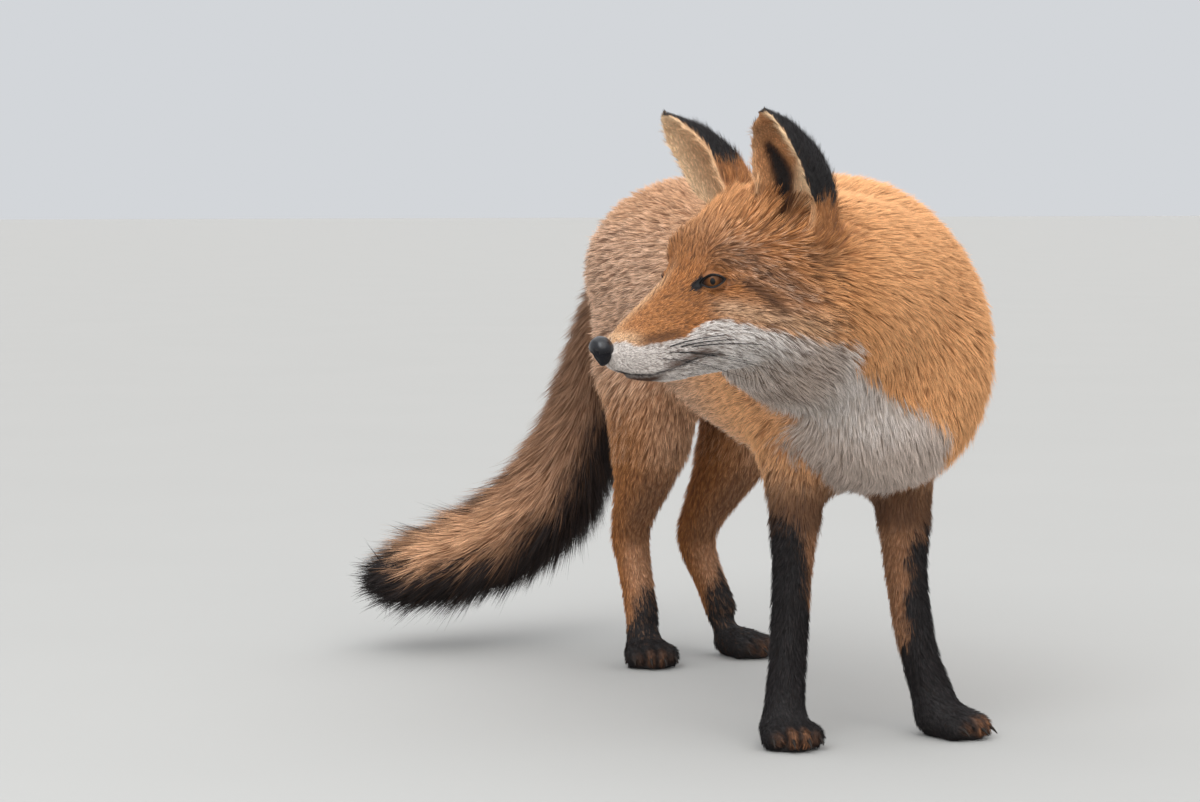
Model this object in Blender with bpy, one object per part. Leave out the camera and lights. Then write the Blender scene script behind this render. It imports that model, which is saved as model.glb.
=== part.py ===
"""A red fox, life size, standing with its head turned to its right and its tail swept the same way.

Metres, +Z up. The fox faces -Y and its left side is at +X. The solids reach the tips of the coat.
The body is modelled whole, from lofted forms that a voxel remesh joins, and is then parted by thin cuts.
"""

import math

import bmesh
import bpy
import numpy as np
from mathutils import Matrix, Vector
from mathutils.bvhtree import BVHTree

# ---- the surface
VOXEL = 0.0036  # cell of the remesh that joins the forms
RING_SIDES = 28  # points round a lofted ring
ROWS_PER_SPAN = 5  # rings between two stations of a loft
BODY_TRIANGLES = 3800  # the whole body, before it is parted
SMOOTHING_ROUNDS = 12
GAP = 0.0005  # how far a cutter is grown: it leaves 0.3 mm clear at its corners, 0.5 mm at its sides
SOLE_LEVEL = 0.0  # the floor, where each paw is cut flat

# ---- the trunk: y, middle x, half width, back z, belly z
TRUNK = (
    (-0.249, -0.002, 0.034, 0.286, 0.212),
    (-0.232, -0.001, 0.062, 0.326, 0.188),
    (-0.190, 0.000, 0.084, 0.370, 0.173),
    (-0.130, 0.001, 0.094, 0.394, 0.170),
    (-0.050, 0.000, 0.093, 0.394, 0.182),
    (0.040, -0.004, 0.086, 0.388, 0.200),
    (0.120, -0.007, 0.082, 0.396, 0.218),
    (0.185, -0.008, 0.078, 0.393, 0.240),
    (0.232, -0.009, 0.062, 0.368, 0.264),
    (0.262, -0.010, 0.032, 0.342, 0.292),
)

# ---- the neck, from the withers to the back of the head: x, y, z, half width, half height
NECK = (
    (0.020, -0.060, 0.290, 0.070, 0.084),
    (0.012, -0.120, 0.294, 0.084, 0.090),
    (-0.020, -0.168, 0.297, 0.086, 0.086),
    (-0.056, -0.198, 0.306, 0.080, 0.080),
    (-0.090, -0.218, 0.310, 0.072, 0.070),
    (-0.120, -0.228, 0.312, 0.058, 0.058),
)

# the cut between trunk and neck
NECK_CUT_POINT = (0.0, -0.165, 0.32)
NECK_CUT_NORMAL = (-0.30, -0.69, 0.66)

# ---- the head, in its own frame: origin between the eyes, x to its left, -y forward, z up
EYES_MIDDLE = (-0.157, -0.238, 0.325)
HEAD_YAW = -78.0  # degrees from the trunk's own heading
HEAD_PITCH = 5.0  # degrees, nose down
# forward, half width, top z, bottom z, how much narrower the top is
HEAD = (
    (0.0790, 0.0085, -0.0330, -0.0470, 0.10),
    (0.0725, 0.0132, -0.0270, -0.0525, 0.18),
    (0.0580, 0.0168, -0.0150, -0.0590, 0.26),
    (0.0410, 0.0205, -0.0035, -0.0625, 0.28),
    (0.0265, 0.0260, 0.0070, -0.0640, 0.26),
    (0.0130, 0.0328, 0.0240, -0.0640, 0.22),
    (0.0000, 0.0400, 0.0395, -0.0630, 0.22),
    (-0.0200, 0.0530, 0.0535, -0.0620, 0.14),
    (-0.0400, 0.0620, 0.0590, -0.0620, 0.10),
    (-0.0600, 0.0640, 0.0560, -0.0620, 0.10),
    (-0.0850, 0.0560, 0.0440, -0.0600, 0.06),
    (-0.1020, 0.0360, 0.022, -0.0380, 0.00),
)
# more forms of the head, as ellipsoids on both sides: x, forward, z, and half sizes across, along and up
HEAD_FORMS = {
    "brow": (0.0165, -0.012, 0.0165, 0.0210, 0.0255, 0.0245),
    "cheekbone": (0.022, -0.006, -0.024, 0.016, 0.030, 0.014),
    "cheek_ruff": (0.044, -0.046, -0.030, 0.022, 0.034, 0.031),
    "whisker_pad": (0.0065, 0.061, -0.0435, 0.0102, 0.0165, 0.0102),
    "ear_root": (0.033, -0.048, 0.024, 0.024, 0.025, 0.021),
}
EYE_RADIUS = 0.0092
EYE_PROUD = 0.0028  # how far the eyeball stands out of the coat round it
EYE_SIDE = 0.027
EYE_GAZE = (0.78, -0.62, 0.06)
NOSE = (0.0, 0.0810, -0.0375, 0.0096, 0.0082, 0.0090)  # as a head form
MOUTH_LEVEL = -0.0500
MOUTH_CORNER = 0.012  # forward of the eyes

# ---- the ears, in the head's frame, as deep scoops that open forwards
# z, middle x, half width, how far behind the eyes the rims stand, depth, how far the outer rim stands behind the inner
EAR = (
    (0.018, 0.0400, 0.0200, 0.048, 0.034, 0.007),
    (0.040, 0.0420, 0.0245, 0.042, 0.038, 0.007),
    (0.062, 0.0450, 0.0255, 0.0355, 0.039, 0.006),
    (0.078, 0.0475, 0.0245, 0.0310, 0.034, 0.003),
    (0.090, 0.0505, 0.0215, 0.0265, 0.026, 0.000),
    (0.101, 0.0545, 0.0145, 0.0215, 0.017, 0.000),
    (0.108, 0.0580, 0.0070, 0.0175, 0.008, 0.000),
    (0.1120, 0.0603, 0.0014, 0.0152, 0.002, 0.000),
)
EAR_ARC = 1.45  # radians on either side of the middle of the scoop
EAR_WALL = 0.0050
EAR_COLUMNS = 11

# ---- the legs: x, y, z, half width across, half width fore and aft
FRONT_LEG = {
    "right": (
        (-0.042, -0.140, 0.262, 0.036, 0.054),
        (-0.045, -0.142, 0.215, 0.033, 0.042),
        (-0.048, -0.148, 0.180, 0.0250, 0.0280),
        (-0.054, -0.158, 0.145, 0.0190, 0.0205),
        (-0.060, -0.168, 0.110, 0.0165, 0.0170),
        (-0.065, -0.176, 0.078, 0.0165, 0.0170),
        (-0.070, -0.184, 0.050, 0.0160, 0.0160),
        (-0.076, -0.192, 0.026, 0.0175, 0.0190),
    ),
    "left": (
        (0.036, -0.140, 0.262, 0.036, 0.054),
        (0.036, -0.142, 0.215, 0.033, 0.042),
        (0.034, -0.148, 0.180, 0.0255, 0.0280),
        (0.032, -0.158, 0.145, 0.0205, 0.0210),
        (0.029, -0.168, 0.110, 0.0175, 0.0180),
        (0.030, -0.176, 0.078, 0.0170, 0.0175),
        (0.034, -0.184, 0.050, 0.0165, 0.0165),
        (0.040, -0.192, 0.026, 0.0180, 0.0190),
    ),
}
HIND_LEG = {
    "right": (
        (-0.040, 0.150, 0.320, 0.038, 0.078),
        (-0.047, 0.146, 0.262, 0.041, 0.080),
        (-0.048, 0.142, 0.212, 0.035, 0.060),
        (-0.043, 0.168, 0.166, 0.0265, 0.0370),
        (-0.037, 0.206, 0.128, 0.0205, 0.0230),
        (-0.033, 0.228, 0.101, 0.0185, 0.0195),
        (-0.032, 0.216, 0.068, 0.0165, 0.0165),
        (-0.032, 0.198, 0.030, 0.0165, 0.0175),
    ),
    "left": (
        (0.026, 0.156, 0.320, 0.038, 0.078),
        (0.036, 0.154, 0.262, 0.042, 0.080),
        (0.040, 0.154, 0.212, 0.037, 0.060),
        (0.036, 0.186, 0.164, 0.0270, 0.0370),
        (0.033, 0.226, 0.122, 0.0210, 0.0230),
        (0.033, 0.250, 0.095, 0.0185, 0.0195),
        (0.041, 0.240, 0.064, 0.0160, 0.0165),
        (0.050, 0.224, 0.030, 0.0165, 0.0175),
    ),
}

# ---- the paws: where each one stands, and how far its toes turn outwards, in degrees
PAW_LENGTH = 0.054
PAW_HALF_WIDTH = 0.0205
PAW_HEIGHT = 0.026
TOE_RADIUS = 0.0098
CLAW_LENGTH = 0.013
CLAW_RADIUS = 0.0021
ANKLE_LEVEL = 0.042  # where a paw is cut from its leg
PAWS = {
    "front_right": (-0.079, -0.203, 4.0),
    "front_left": (0.045, -0.203, 34.0),
    "hind_right": (-0.034, 0.184, 6.0),
    "hind_left": (0.057, 0.208, 26.0),
}
TOES = (-1.5, -0.5, 0.5, 1.5)  # across the paw, in toe spacings

# ---- the tail: x, y, z, half width
TAIL = (
    (-0.010, 0.222, 0.344, 0.024),
    (-0.010, 0.262, 0.332, 0.026),
    (-0.012, 0.304, 0.300, 0.029),
    (-0.018, 0.334, 0.252, 0.032),
    (-0.028, 0.343, 0.206, 0.035),
    (-0.041, 0.346, 0.164, 0.042),
    (-0.062, 0.346, 0.126, 0.0455),
    (-0.098, 0.345, 0.096, 0.0425),
    (-0.146, 0.341, 0.076, 0.038),
    (-0.190, 0.337, 0.065, 0.032),
    (-0.216, 0.332, 0.060, 0.023),
    (-0.232, 0.329, 0.057, 0.010),
)

COLOURS = {  # linear RGB and roughness
    "orange_coat": ((0.50, 0.17, 0.045), 0.85),
    "grey_brown_coat": ((0.30, 0.15, 0.08), 0.85),
    "white_coat": ((0.72, 0.66, 0.58), 0.85),
    "black_coat": ((0.014, 0.011, 0.010), 0.8),
    "eye": ((0.20, 0.08, 0.02), 0.15),
    "bare_black": ((0.012, 0.012, 0.014), 0.45),
}


# ---- small helpers


def clear_scene():
    for obj in list(bpy.data.objects):
        bpy.data.objects.remove(obj, do_unlink=True)


def spread_rows(rows, per_span=ROWS_PER_SPAN):
    """The rows of a table with smooth ones between them (Catmull-Rom through every column)."""
    rows = np.array(rows, float)
    padded = np.vstack([2 * rows[0] - rows[1], rows, 2 * rows[-1] - rows[-2]])
    made = []
    for i in range(len(rows) - 1):
        before, start, end, after = padded[i : i + 4]
        for t in np.arange(per_span) / per_span:
            bend = 2 * before - 5 * start + 4 * end - after
            turn = 3 * start - before - 3 * end + after
            made.append(0.5 * (2 * start + (end - before) * t + bend * t * t + turn * t**3))
    made.append(rows[-1])
    return np.array(made)


def ring(centre, side, up, half_width, top, bottom, taper=0.0, sides=RING_SIDES):
    """A closed ring: top and bottom are its reaches along up, and taper narrows its upper half."""
    angle = np.arange(sides) * 2 * math.pi / sides
    across = half_width * np.cos(angle) * (1 - taper * np.sin(angle))
    high = np.where(np.sin(angle) > 0, top, bottom) * np.sin(angle)
    return np.array(centre) + np.outer(across, side) + np.outer(high, up)


def new_object(name, mesh):
    obj = bpy.data.objects.new(name, mesh)
    bpy.context.scene.collection.objects.link(obj)
    return obj


def loft(name, rings):
    """A closed solid through the rings, capped at both ends."""
    form = bmesh.new()
    rows = [[form.verts.new(point) for point in one] for one in rings]
    for low, high in zip(rows, rows[1:]):
        for i in range(len(low)):
            j = (i + 1) % len(low)
            form.faces.new((low[i], low[j], high[j], high[i]))
    for one in (rows[0], rows[-1]):
        form.faces.new(one)
    bmesh.ops.recalc_face_normals(form, faces=form.faces)
    return finish_form(name, form)


def finish_form(name, form):
    mesh = bpy.data.meshes.new(name)
    form.to_mesh(mesh)
    form.free()
    return new_object(name, mesh)


def ellipsoid(name, frame, half_sizes, segments=24):
    """An ellipsoid whose axes are the columns of frame."""
    form = bmesh.new()
    bmesh.ops.create_uvsphere(form, u_segments=segments, v_segments=segments // 2, radius=1.0)
    bmesh.ops.transform(form, matrix=frame @ Matrix.Diagonal((*half_sizes, 1.0)), verts=form.verts)
    return finish_form(name, form)


def block(name, frame, half_sizes):
    form = bmesh.new()
    bmesh.ops.create_cube(form, size=2.0)
    bmesh.ops.transform(form, matrix=frame @ Matrix.Diagonal((*half_sizes, 1.0)), verts=form.verts)
    return finish_form(name, form)


def evaluated_mesh(obj):
    bpy.context.view_layer.update()
    graph = bpy.context.evaluated_depsgraph_get()
    return bpy.data.meshes.new_from_object(obj.evaluated_get(graph))


def bake_modifiers(obj):
    """The object's mesh becomes what its modifiers make of it."""
    mesh = evaluated_mesh(obj)
    obj.modifiers.clear()
    old, obj.data = obj.data, mesh
    bpy.data.meshes.remove(old)
    return obj


def boolean(obj, operation, other):
    """obj with other joined, cut away or kept in common."""
    step = obj.modifiers.new(operation.lower(), "BOOLEAN")
    step.operation = operation
    step.solver = "EXACT"
    step.object = other
    return bake_modifiers(obj)


def remove(*objects):
    for obj in objects:
        bpy.data.objects.remove(obj, do_unlink=True)


# ---- the forms of the body


def trunk_form():
    rings = []
    for y, x, half_width, back, belly in spread_rows(TRUNK):
        middle = belly + 0.53 * (back - belly)
        rings.append(ring((x, y, middle), (1, 0, 0), (0, 0, 1), half_width, back - middle, middle - belly))
    return loft("trunk_form", rings)


def tube_form(name, rows, sides=RING_SIDES):
    """A loft along a path of x, y, z, half width across and half width the other way.

    The rings keep their twist to the least: each takes its side axis on from the one before.
    """
    side = Vector((1, 0, 0))
    rings = []
    for i, row in enumerate(rows):
        after, before = rows[min(i + 1, len(rows) - 1)], rows[max(i - 1, 0)]
        along = Vector([b - a for a, b in zip(before[:3], after[:3])]).normalized()
        side = (side - along * side.dot(along)).normalized()
        rings.append(ring(row[:3], side, along.cross(side), row[3], row[4], row[4], sides=sides))
    return loft(name, rings)


def tail_rows():
    return spread_rows([(*row, row[3]) for row in TAIL])


def head_matrix():
    turn = Matrix.Rotation(math.radians(HEAD_YAW), 4, "Z") @ Matrix.Rotation(math.radians(HEAD_PITCH), 4, "X")
    return Matrix.Translation(EYES_MIDDLE) @ turn


def head_forms():
    """The skull and muzzle, with the brows, cheekbones, cheek ruffs, whisker pads and ear roots."""
    rings = []
    for forward, half_width, top, bottom, taper in spread_rows(HEAD):
        middle = bottom + 0.44 * (top - bottom)
        row = ring((0, -forward, middle), (1, 0, 0), (0, 0, 1), half_width, top - middle, middle - bottom, taper)
        rings.append([head_matrix() @ Vector(point) for point in row])
    made = [loft("head_form", rings)]
    for name, (x, forward, z, across, along, up) in HEAD_FORMS.items():
        for side in (-1, 1):
            frame = head_matrix() @ Matrix.Translation((side * x, -forward, z))
            made.append(ellipsoid(f"{name}_form", frame, (across, along, up)))
    return made


def paw_frame(paw):
    """The paw's own frame on the floor: -y towards the toes."""
    x, y, turned = PAWS[paw]
    outwards = 1 if "left" in paw else -1
    return Matrix.Translation((x, y, 0)) @ Matrix.Rotation(outwards * math.radians(turned), 4, "Z")


def toe_place(step):
    """The middle of a toe in its paw's frame. The two middle toes reach further."""
    reach = PAW_LENGTH * (0.36 if abs(step) < 1 else 0.20)
    return Vector((step * 1.02 * TOE_RADIUS, -reach, TOE_RADIUS * 0.95))


def paw_forms(paw):
    frame = paw_frame(paw)
    height = PAW_HEIGHT if "front" in paw else PAW_HEIGHT * 0.92
    sole = Matrix.Translation((0, 0.004, height * 0.48))
    made = [ellipsoid("paw_form", frame @ sole, (PAW_HALF_WIDTH * 0.92, PAW_LENGTH * 0.42, height * 0.62))]
    for step in TOES:
        toe = frame @ Matrix.Translation(toe_place(step)) @ Matrix.Rotation(math.radians(6 * step), 4, "Z")
        made.append(ellipsoid("toe_form", toe, (TOE_RADIUS * 0.92, TOE_RADIUS * 1.55, TOE_RADIUS * 1.08)))
    return made


def body_forms():
    forms = [trunk_form(), tube_form("neck_form", spread_rows(NECK)), *head_forms()]
    for side in ("right", "left"):
        forms.append(tube_form("front_leg_form", spread_rows(FRONT_LEG[side])))
        forms.append(tube_form("hind_leg_form", spread_rows(HIND_LEG[side])))
    for paw in PAWS:
        forms += paw_forms(paw)
    forms.append(tube_form("tail_form", tail_rows()))
    return forms


def join(name, objects):
    form = bmesh.new()
    for obj in objects:
        form.from_mesh(obj.data)
    remove(*objects)
    return finish_form(name, form)


def whole_body():
    """All the forms as one closed surface, smoothed most on the trunk and least on the face and paws."""
    body = join("body", body_forms())
    remesh = body.modifiers.new("join_forms", "REMESH")
    remesh.mode = "VOXEL"
    remesh.voxel_size = VOXEL
    bake_modifiers(body)
    to_head = head_matrix().inverted()
    soft = body.vertex_groups.new(name="soft")
    for vertex in body.data.vertices:
        forward = -(to_head @ vertex.co).y
        low = min(vertex.co.z / 0.05, 1.0)
        face = min(max((forward + 0.06) / 0.09, 0.0), 1.0)
        soft.add([vertex.index], max(0.3, min(low, 1 - 0.7 * face)), "REPLACE")
    smooth = body.modifiers.new("smooth", "SMOOTH")
    smooth.iterations = SMOOTHING_ROUNDS
    smooth.vertex_group = soft.name
    thin = body.modifiers.new("fewer_faces", "DECIMATE")
    thin.ratio = BODY_TRIANGLES / (2 * len(body.data.polygons))
    thin.use_collapse_triangulate = True
    bake_modifiers(body)
    floor = block("below_floor", Matrix.Translation((0, 0, SOLE_LEVEL - 0.1)), (1, 1, 0.1))
    boolean(body, "DIFFERENCE", floor)
    remove(floor)
    return body


# ---- parting the body


def copy_of(obj, name):
    return new_object(name, obj.data.copy())


def grown(obj, by=GAP):
    """A copy of obj with its surface moved outwards."""
    wider = copy_of(obj, f"{obj.name}_grown")
    step = wider.modifiers.new("grow", "DISPLACE")
    step.mid_level = 0.0
    step.strength = by
    return bake_modifiers(wider)


def part_off(body, name, cutter):
    """Makes what lies inside the cutter a body of its own, with a thin gap between it and the rest."""
    piece = copy_of(body, name)
    boolean(piece, "INTERSECT", cutter)
    wider = grown(cutter)
    boolean(body, "DIFFERENCE", wider)
    remove(cutter, wider)
    return piece


def sleeve(rows, start, margin, reach=0.03):
    """A cutter round the tail: a tube wider than it, from a station of its table to past its tip."""
    rows = [row + (0, 0, 0, margin, margin) for row in rows[round(start * ROWS_PER_SPAN) :: ROWS_PER_SPAN]]
    past = rows[-1].copy()
    along = rows[-1][:3] - rows[-2][:3]
    past[:3] += along / np.linalg.norm(along) * reach
    return tube_form("sleeve", [*rows, past], sides=14)


def stocking(rows, start, margin, fore_aft_margin):
    """A cutter round a leg: level rings wider than the leg, from a station of its table to below the floor."""
    rows = rows[round(start * ROWS_PER_SPAN) :: ROWS_PER_SPAN]
    rings = []
    for x, y, z, across, fore_aft in [*rows, rows[-1] - (0, 0, 0.08, 0, 0)]:
        long = fore_aft + fore_aft_margin
        rings.append(ring((x, y, z), (1, 0, 0), (0, -1, 0), across + margin, long, long, sides=14))
    return loft("stocking", rings)


def part_tail(trunk):
    """The tail in three lengths."""
    rows = tail_rows()
    base = part_off(trunk, "tail_base", sleeve(rows, 0.9, 0.012))
    middle = part_off(base, "tail_middle", sleeve(rows, 4.0, 0.012))
    tip = part_off(middle, "tail_tip", sleeve(rows, 7.4, 0.012))
    return [base, middle, tip]


def part_paws(body):
    """Every paw, cut level above its toes."""
    made = {}
    for paw in PAWS:
        frame = paw_frame(paw) @ Matrix.Translation((0, -0.004, 0))
        cutter = block("paw_cutter", frame, (PAW_HALF_WIDTH * 1.7, PAW_LENGTH, ANKLE_LEVEL))
        made[paw] = part_off(body, f"{paw}_paw", cutter)
    return made


def part_legs(trunk):
    """Each leg in its lengths, from the trunk down."""
    made = []
    for side in ("right", "left"):
        rows = spread_rows(FRONT_LEG[side])
        upper = part_off(trunk, f"front_{side}_upper_arm", stocking(rows, 1.0, 0.009, 0.012))
        forearm = part_off(upper, f"front_{side}_forearm", stocking(rows, 2.9, 0.014, 0.016))
        rows = spread_rows(HIND_LEG[side])
        thigh = part_off(trunk, f"hind_{side}_thigh", stocking(rows, 1.4, 0.012, 0.034))
        shank = part_off(thigh, f"hind_{side}_shank", stocking(rows, 2.9, 0.020, 0.030))
        metatarsus = part_off(shank, f"hind_{side}_metatarsus", stocking(rows, 5.0, 0.016, 0.030))
        made += [upper, forearm, thigh, shank, metatarsus]
    return made


def part_head_and_neck(body):
    frame = head_matrix() @ Matrix.Translation((0, -0.035, -0.006))
    head = part_off(body, "head", block("head_cutter", frame, (0.11, 0.11, 0.085)))
    up = Vector(NECK_CUT_NORMAL).normalized()
    frame = Matrix.Translation(NECK_CUT_POINT) @ up.to_track_quat("Z", "Y").to_matrix().to_4x4()
    neck = part_off(body, "neck", block("neck_cutter", frame @ Matrix.Translation((0, 0, 0.2)), (0.3, 0.3, 0.2)))
    return head, neck


def part_jaw(head):
    """The lower jaw, parted from the head along the mouth."""
    low = MOUTH_LEVEL - 0.03
    frame = head_matrix() @ Matrix.Translation((0, -MOUTH_CORNER - 0.05, low))
    return part_off(head, "lower_jaw", block("jaw_cutter", frame, (0.06, 0.05, 0.03)))


# ---- eyes, nose, ears and claws


def place_eye(head, side):
    """An eyeball in a socket of its own, found where its gaze leaves the head."""
    to_head = head_matrix()
    outwards, forwards, up = EYE_GAZE
    gaze = (to_head.to_3x3() @ Vector((side * outwards, forwards, up))).normalized()
    start = to_head @ Vector((side * EYE_SIDE * 0.6, 0, 0))
    tree = BVHTree.FromObject(head, bpy.context.evaluated_depsgraph_get())
    surface = tree.ray_cast(start + gaze * 0.1, -gaze)[0]
    turn = gaze.to_track_quat("Z", "Y").to_matrix().to_4x4()
    centre = Matrix.Translation(surface + gaze * (EYE_PROUD - EYE_RADIUS)) @ turn
    name = "eye_left" if side > 0 else "eye_right"
    eye = ellipsoid(name, centre, (EYE_RADIUS,) * 3, segments=14)
    socket = grown(eye)
    boolean(head, "DIFFERENCE", socket)
    remove(socket)
    return eye


def place_nose(head):
    x, forward, z, across, along, up = NOSE
    nose = ellipsoid("nose", head_matrix() @ Matrix.Translation((x, -forward, z)), (across, along, up), segments=12)
    socket = grown(nose)
    boolean(head, "DIFFERENCE", socket)
    remove(socket)
    return nose


def ear_grid(side):
    """The wall of an ear as rows of points, in the world."""
    grid = []
    for z, x, half_width, rims, depth, skew in EAR:
        row = []
        for angle in np.linspace(-EAR_ARC, EAR_ARC, EAR_COLUMNS):
            across = math.sin(angle) / math.sin(EAR_ARC)
            scoop = (math.cos(angle) - math.cos(EAR_ARC)) / (1 - math.cos(EAR_ARC))
            behind = rims + depth * scoop + 0.5 * skew * across
            row.append(head_matrix() @ Vector((side * (x + half_width * across), behind, z)))
        grid.append(row)
    return grid


def place_ear(side, neighbours):
    """A cupped ear, trimmed where it meets the head and the neck."""
    name = "ear_left" if side > 0 else "ear_right"
    grid = ear_grid(side)
    form = bmesh.new()
    rows = [[form.verts.new(point) for point in row] for row in grid]
    for low, high in zip(rows, rows[1:]):
        for a, b, c, d in zip(low, low[1:], high[1:], high):
            form.faces.new((a, b, c, d))
    ear = finish_form(name, form)
    wall = ear.modifiers.new("wall", "SOLIDIFY")
    wall.thickness = EAR_WALL
    wall.offset = 0.0
    bake_modifiers(ear)
    for neighbour in neighbours:
        wider = grown(neighbour)
        boolean(ear, "DIFFERENCE", wider)
        remove(wider)
    return ear


def add_claws(paw, body):
    """Grows four claws out of a paw's toes."""
    for step in TOES:
        toe = paw_frame(paw) @ Matrix.Translation(toe_place(step)) @ Matrix.Rotation(math.radians(6 * step), 4, "Z")
        rows = []
        for share in (0.0, 0.55, 1.0):
            reach = TOE_RADIUS * 1.1 + CLAW_LENGTH * share
            drop = 0.0005 - 0.0050 * share**2
            wide = CLAW_RADIUS * (1 - 0.85 * share)
            rows.append((*(toe @ Vector((0, -reach, drop))), wide, wide * 1.3))
        claw = tube_form("claw", rows, sides=5)
        boolean(body, "UNION", claw)
        remove(claw)


# ---- finish


def paint(obj, colour):
    base, roughness = COLOURS[colour]
    material = bpy.data.materials.new(f"{obj.name}_{colour}")
    material.use_nodes = True
    shader = material.node_tree.nodes["Principled BSDF"]
    shader.inputs["Base Color"].default_value = (*base, 1.0)
    shader.inputs["Roughness"].default_value = roughness
    shader.inputs["Metallic"].default_value = 0.0
    material.diffuse_color = (*base, 1.0)
    obj.data.materials.clear()
    obj.data.materials.append(material)


def stand_on_origin(objects):
    """Moves everything so that the middle of the box round it is over the origin, soles on the floor."""
    points = [vertex.co for obj in objects for vertex in obj.data.vertices]
    middle = [(min(p[axis] for p in points) + max(p[axis] for p in points)) / 2 for axis in (0, 1)]
    for obj in objects:
        obj.data.transform(Matrix.Translation((-middle[0], -middle[1], 0)))
    return middle


def coat_colour(name):
    if name.startswith("eye"):
        return "eye"
    if name == "nose":
        return "bare_black"
    if name == "lower_jaw":
        return "white_coat"
    if "paw" in name or "forearm" in name or name == "tail_tip":
        return "black_coat"
    if name in ("head", "neck") or name.startswith("ear") or "upper_arm" in name:
        return "orange_coat"
    return "grey_brown_coat"


def main():
    clear_scene()
    trunk = whole_body()
    trunk.name = "trunk"
    head, neck = part_head_and_neck(trunk)
    made = [trunk, head, neck, *part_tail(trunk)]
    paws = part_paws(trunk)
    made += [*paws.values(), *part_legs(trunk)]
    made += [place_ear(side, (head, neck)) for side in (1, -1)]
    made += [place_eye(head, side) for side in (1, -1)]
    made.append(part_jaw(head))
    made.append(place_nose(head))
    for paw, body in paws.items():
        add_claws(paw, body)
    for obj in made:
        paint(obj, coat_colour(obj.name))
    stand_on_origin(made)


main()
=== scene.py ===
"""A red fox, life size, standing with its head turned to its right and its tail swept the same way.

One skin lies inside the solids by the coat's depth, and the tufts of the coat rise from it to their surface.
Metres, +Z up. The fox faces -Y and its left side is at +X.
"""

import math

import bmesh
import bpy
import numpy as np
from mathutils import Matrix, Vector
from mathutils.bvhtree import BVHTree
from mathutils.kdtree import KDTree


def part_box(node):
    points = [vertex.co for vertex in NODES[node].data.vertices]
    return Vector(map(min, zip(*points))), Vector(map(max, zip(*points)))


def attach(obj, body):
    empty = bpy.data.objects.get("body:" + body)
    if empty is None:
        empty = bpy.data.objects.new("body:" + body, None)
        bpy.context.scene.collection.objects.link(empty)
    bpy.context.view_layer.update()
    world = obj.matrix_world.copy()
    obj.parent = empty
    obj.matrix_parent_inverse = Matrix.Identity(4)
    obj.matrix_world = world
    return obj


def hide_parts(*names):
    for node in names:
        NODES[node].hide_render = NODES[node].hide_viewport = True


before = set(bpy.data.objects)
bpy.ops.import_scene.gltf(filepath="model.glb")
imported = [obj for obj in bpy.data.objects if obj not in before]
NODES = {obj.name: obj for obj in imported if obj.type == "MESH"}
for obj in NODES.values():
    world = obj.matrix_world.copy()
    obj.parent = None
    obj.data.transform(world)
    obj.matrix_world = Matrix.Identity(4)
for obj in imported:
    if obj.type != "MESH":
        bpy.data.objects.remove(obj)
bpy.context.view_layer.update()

NAMES = sorted(NODES)
MM = 0.001
CM = 0.01
SEED = 7

# ---- the fox's own frame, and its head's: origin between the eyes, x to its left, -y forward, z up
EYES_MIDDLE = Vector((-0.157, -0.238, 0.325))
HEAD_YAW = -78.0
HEAD_PITCH = 5.0
NOSE_FROM_EYES = Vector((0, -0.0810, -0.0375))
EYE_GAZE = (0.78, -0.62, 0.06)
EYE_SLANT = 3.0  # degrees that the inner corner lies below the outer one
EYE_OPENING = (7.6 * MM, 7.6 * MM, 4.1 * MM, 3.4 * MM)  # to the inner and outer corner, up and down
EYE_OUTLINE_POWER = 1.55  # 1 would make the opening a lozenge, and 2 an oval
MOUTH_LINE = (  # forward of the eyes and up, in centimetres
    (0.6, -4.55),
    (1.4, -4.70),
    (2.6, -4.94),
    (3.3, -5.20),
    (4.0, -5.45),
    (5.3, -5.74),
    (6.6, -5.56),
    (7.3, -5.27),
    (7.9, -4.98),
    (8.4, -4.75),
)
PAWS = {  # where each paw stands, and how far its toes turn outwards
    "front_right": (-0.079, -0.203, 4.0),
    "front_left": (0.045, -0.203, 34.0),
    "hind_right": (-0.034, 0.184, 6.0),
    "hind_left": (0.057, 0.208, 26.0),
}
PAW_LENGTH = 0.054
TOES = (-1.5, -0.5, 0.5, 1.5)
TOE_RADIUS = 0.0098
TOE_FRONT = 1.50 * TOE_RADIUS
CLAW_LENGTH = 0.013
CLAW_ROOM = (0.0045, 0.012)  # how far from a toe's middle line its claw reaches, to the sides and up or down
TAIL_LINE = (  # x, y, z, radius
    (-0.010, 0.222, 0.344, 0.024),
    (-0.012, 0.304, 0.300, 0.029),
    (-0.028, 0.343, 0.206, 0.035),
    (-0.041, 0.346, 0.164, 0.042),
    (-0.062, 0.346, 0.126, 0.0455),
    (-0.098, 0.345, 0.096, 0.0425),
    (-0.146, 0.341, 0.076, 0.038),
    (-0.190, 0.337, 0.065, 0.032),
    (-0.232, 0.329, 0.057, 0.014),
)

# ---- the coat: its depth over the skin, its hairs' length and its tufts' width, in millimetres, by node
COAT = {
    "head": (1.0, 6.0, 0.50),
    "jaw": (0.6, 3.0, 0.36),
    "nose": (1.4, 1.6, 0.30),
    "eye": (0.8, 2.4, 0.32),
    "ear": (0.5, 4.2, 0.42),
    "neck": (4.8, 17.0, 0.95),
    "trunk": (5.0, 18.0, 0.98),
    "upper_arm": (3.8, 14.0, 0.90),
    "forearm": (2.0, 8.5, 0.66),
    "thigh": (4.3, 15.0, 0.92),
    "shank": (2.8, 10.5, 0.76),
    "metatarsus": (1.7, 7.0, 0.62),
    "paw": (1.3, 5.0, 0.55),
    "tail": (10.0, 28.0, 1.15),
}
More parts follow.
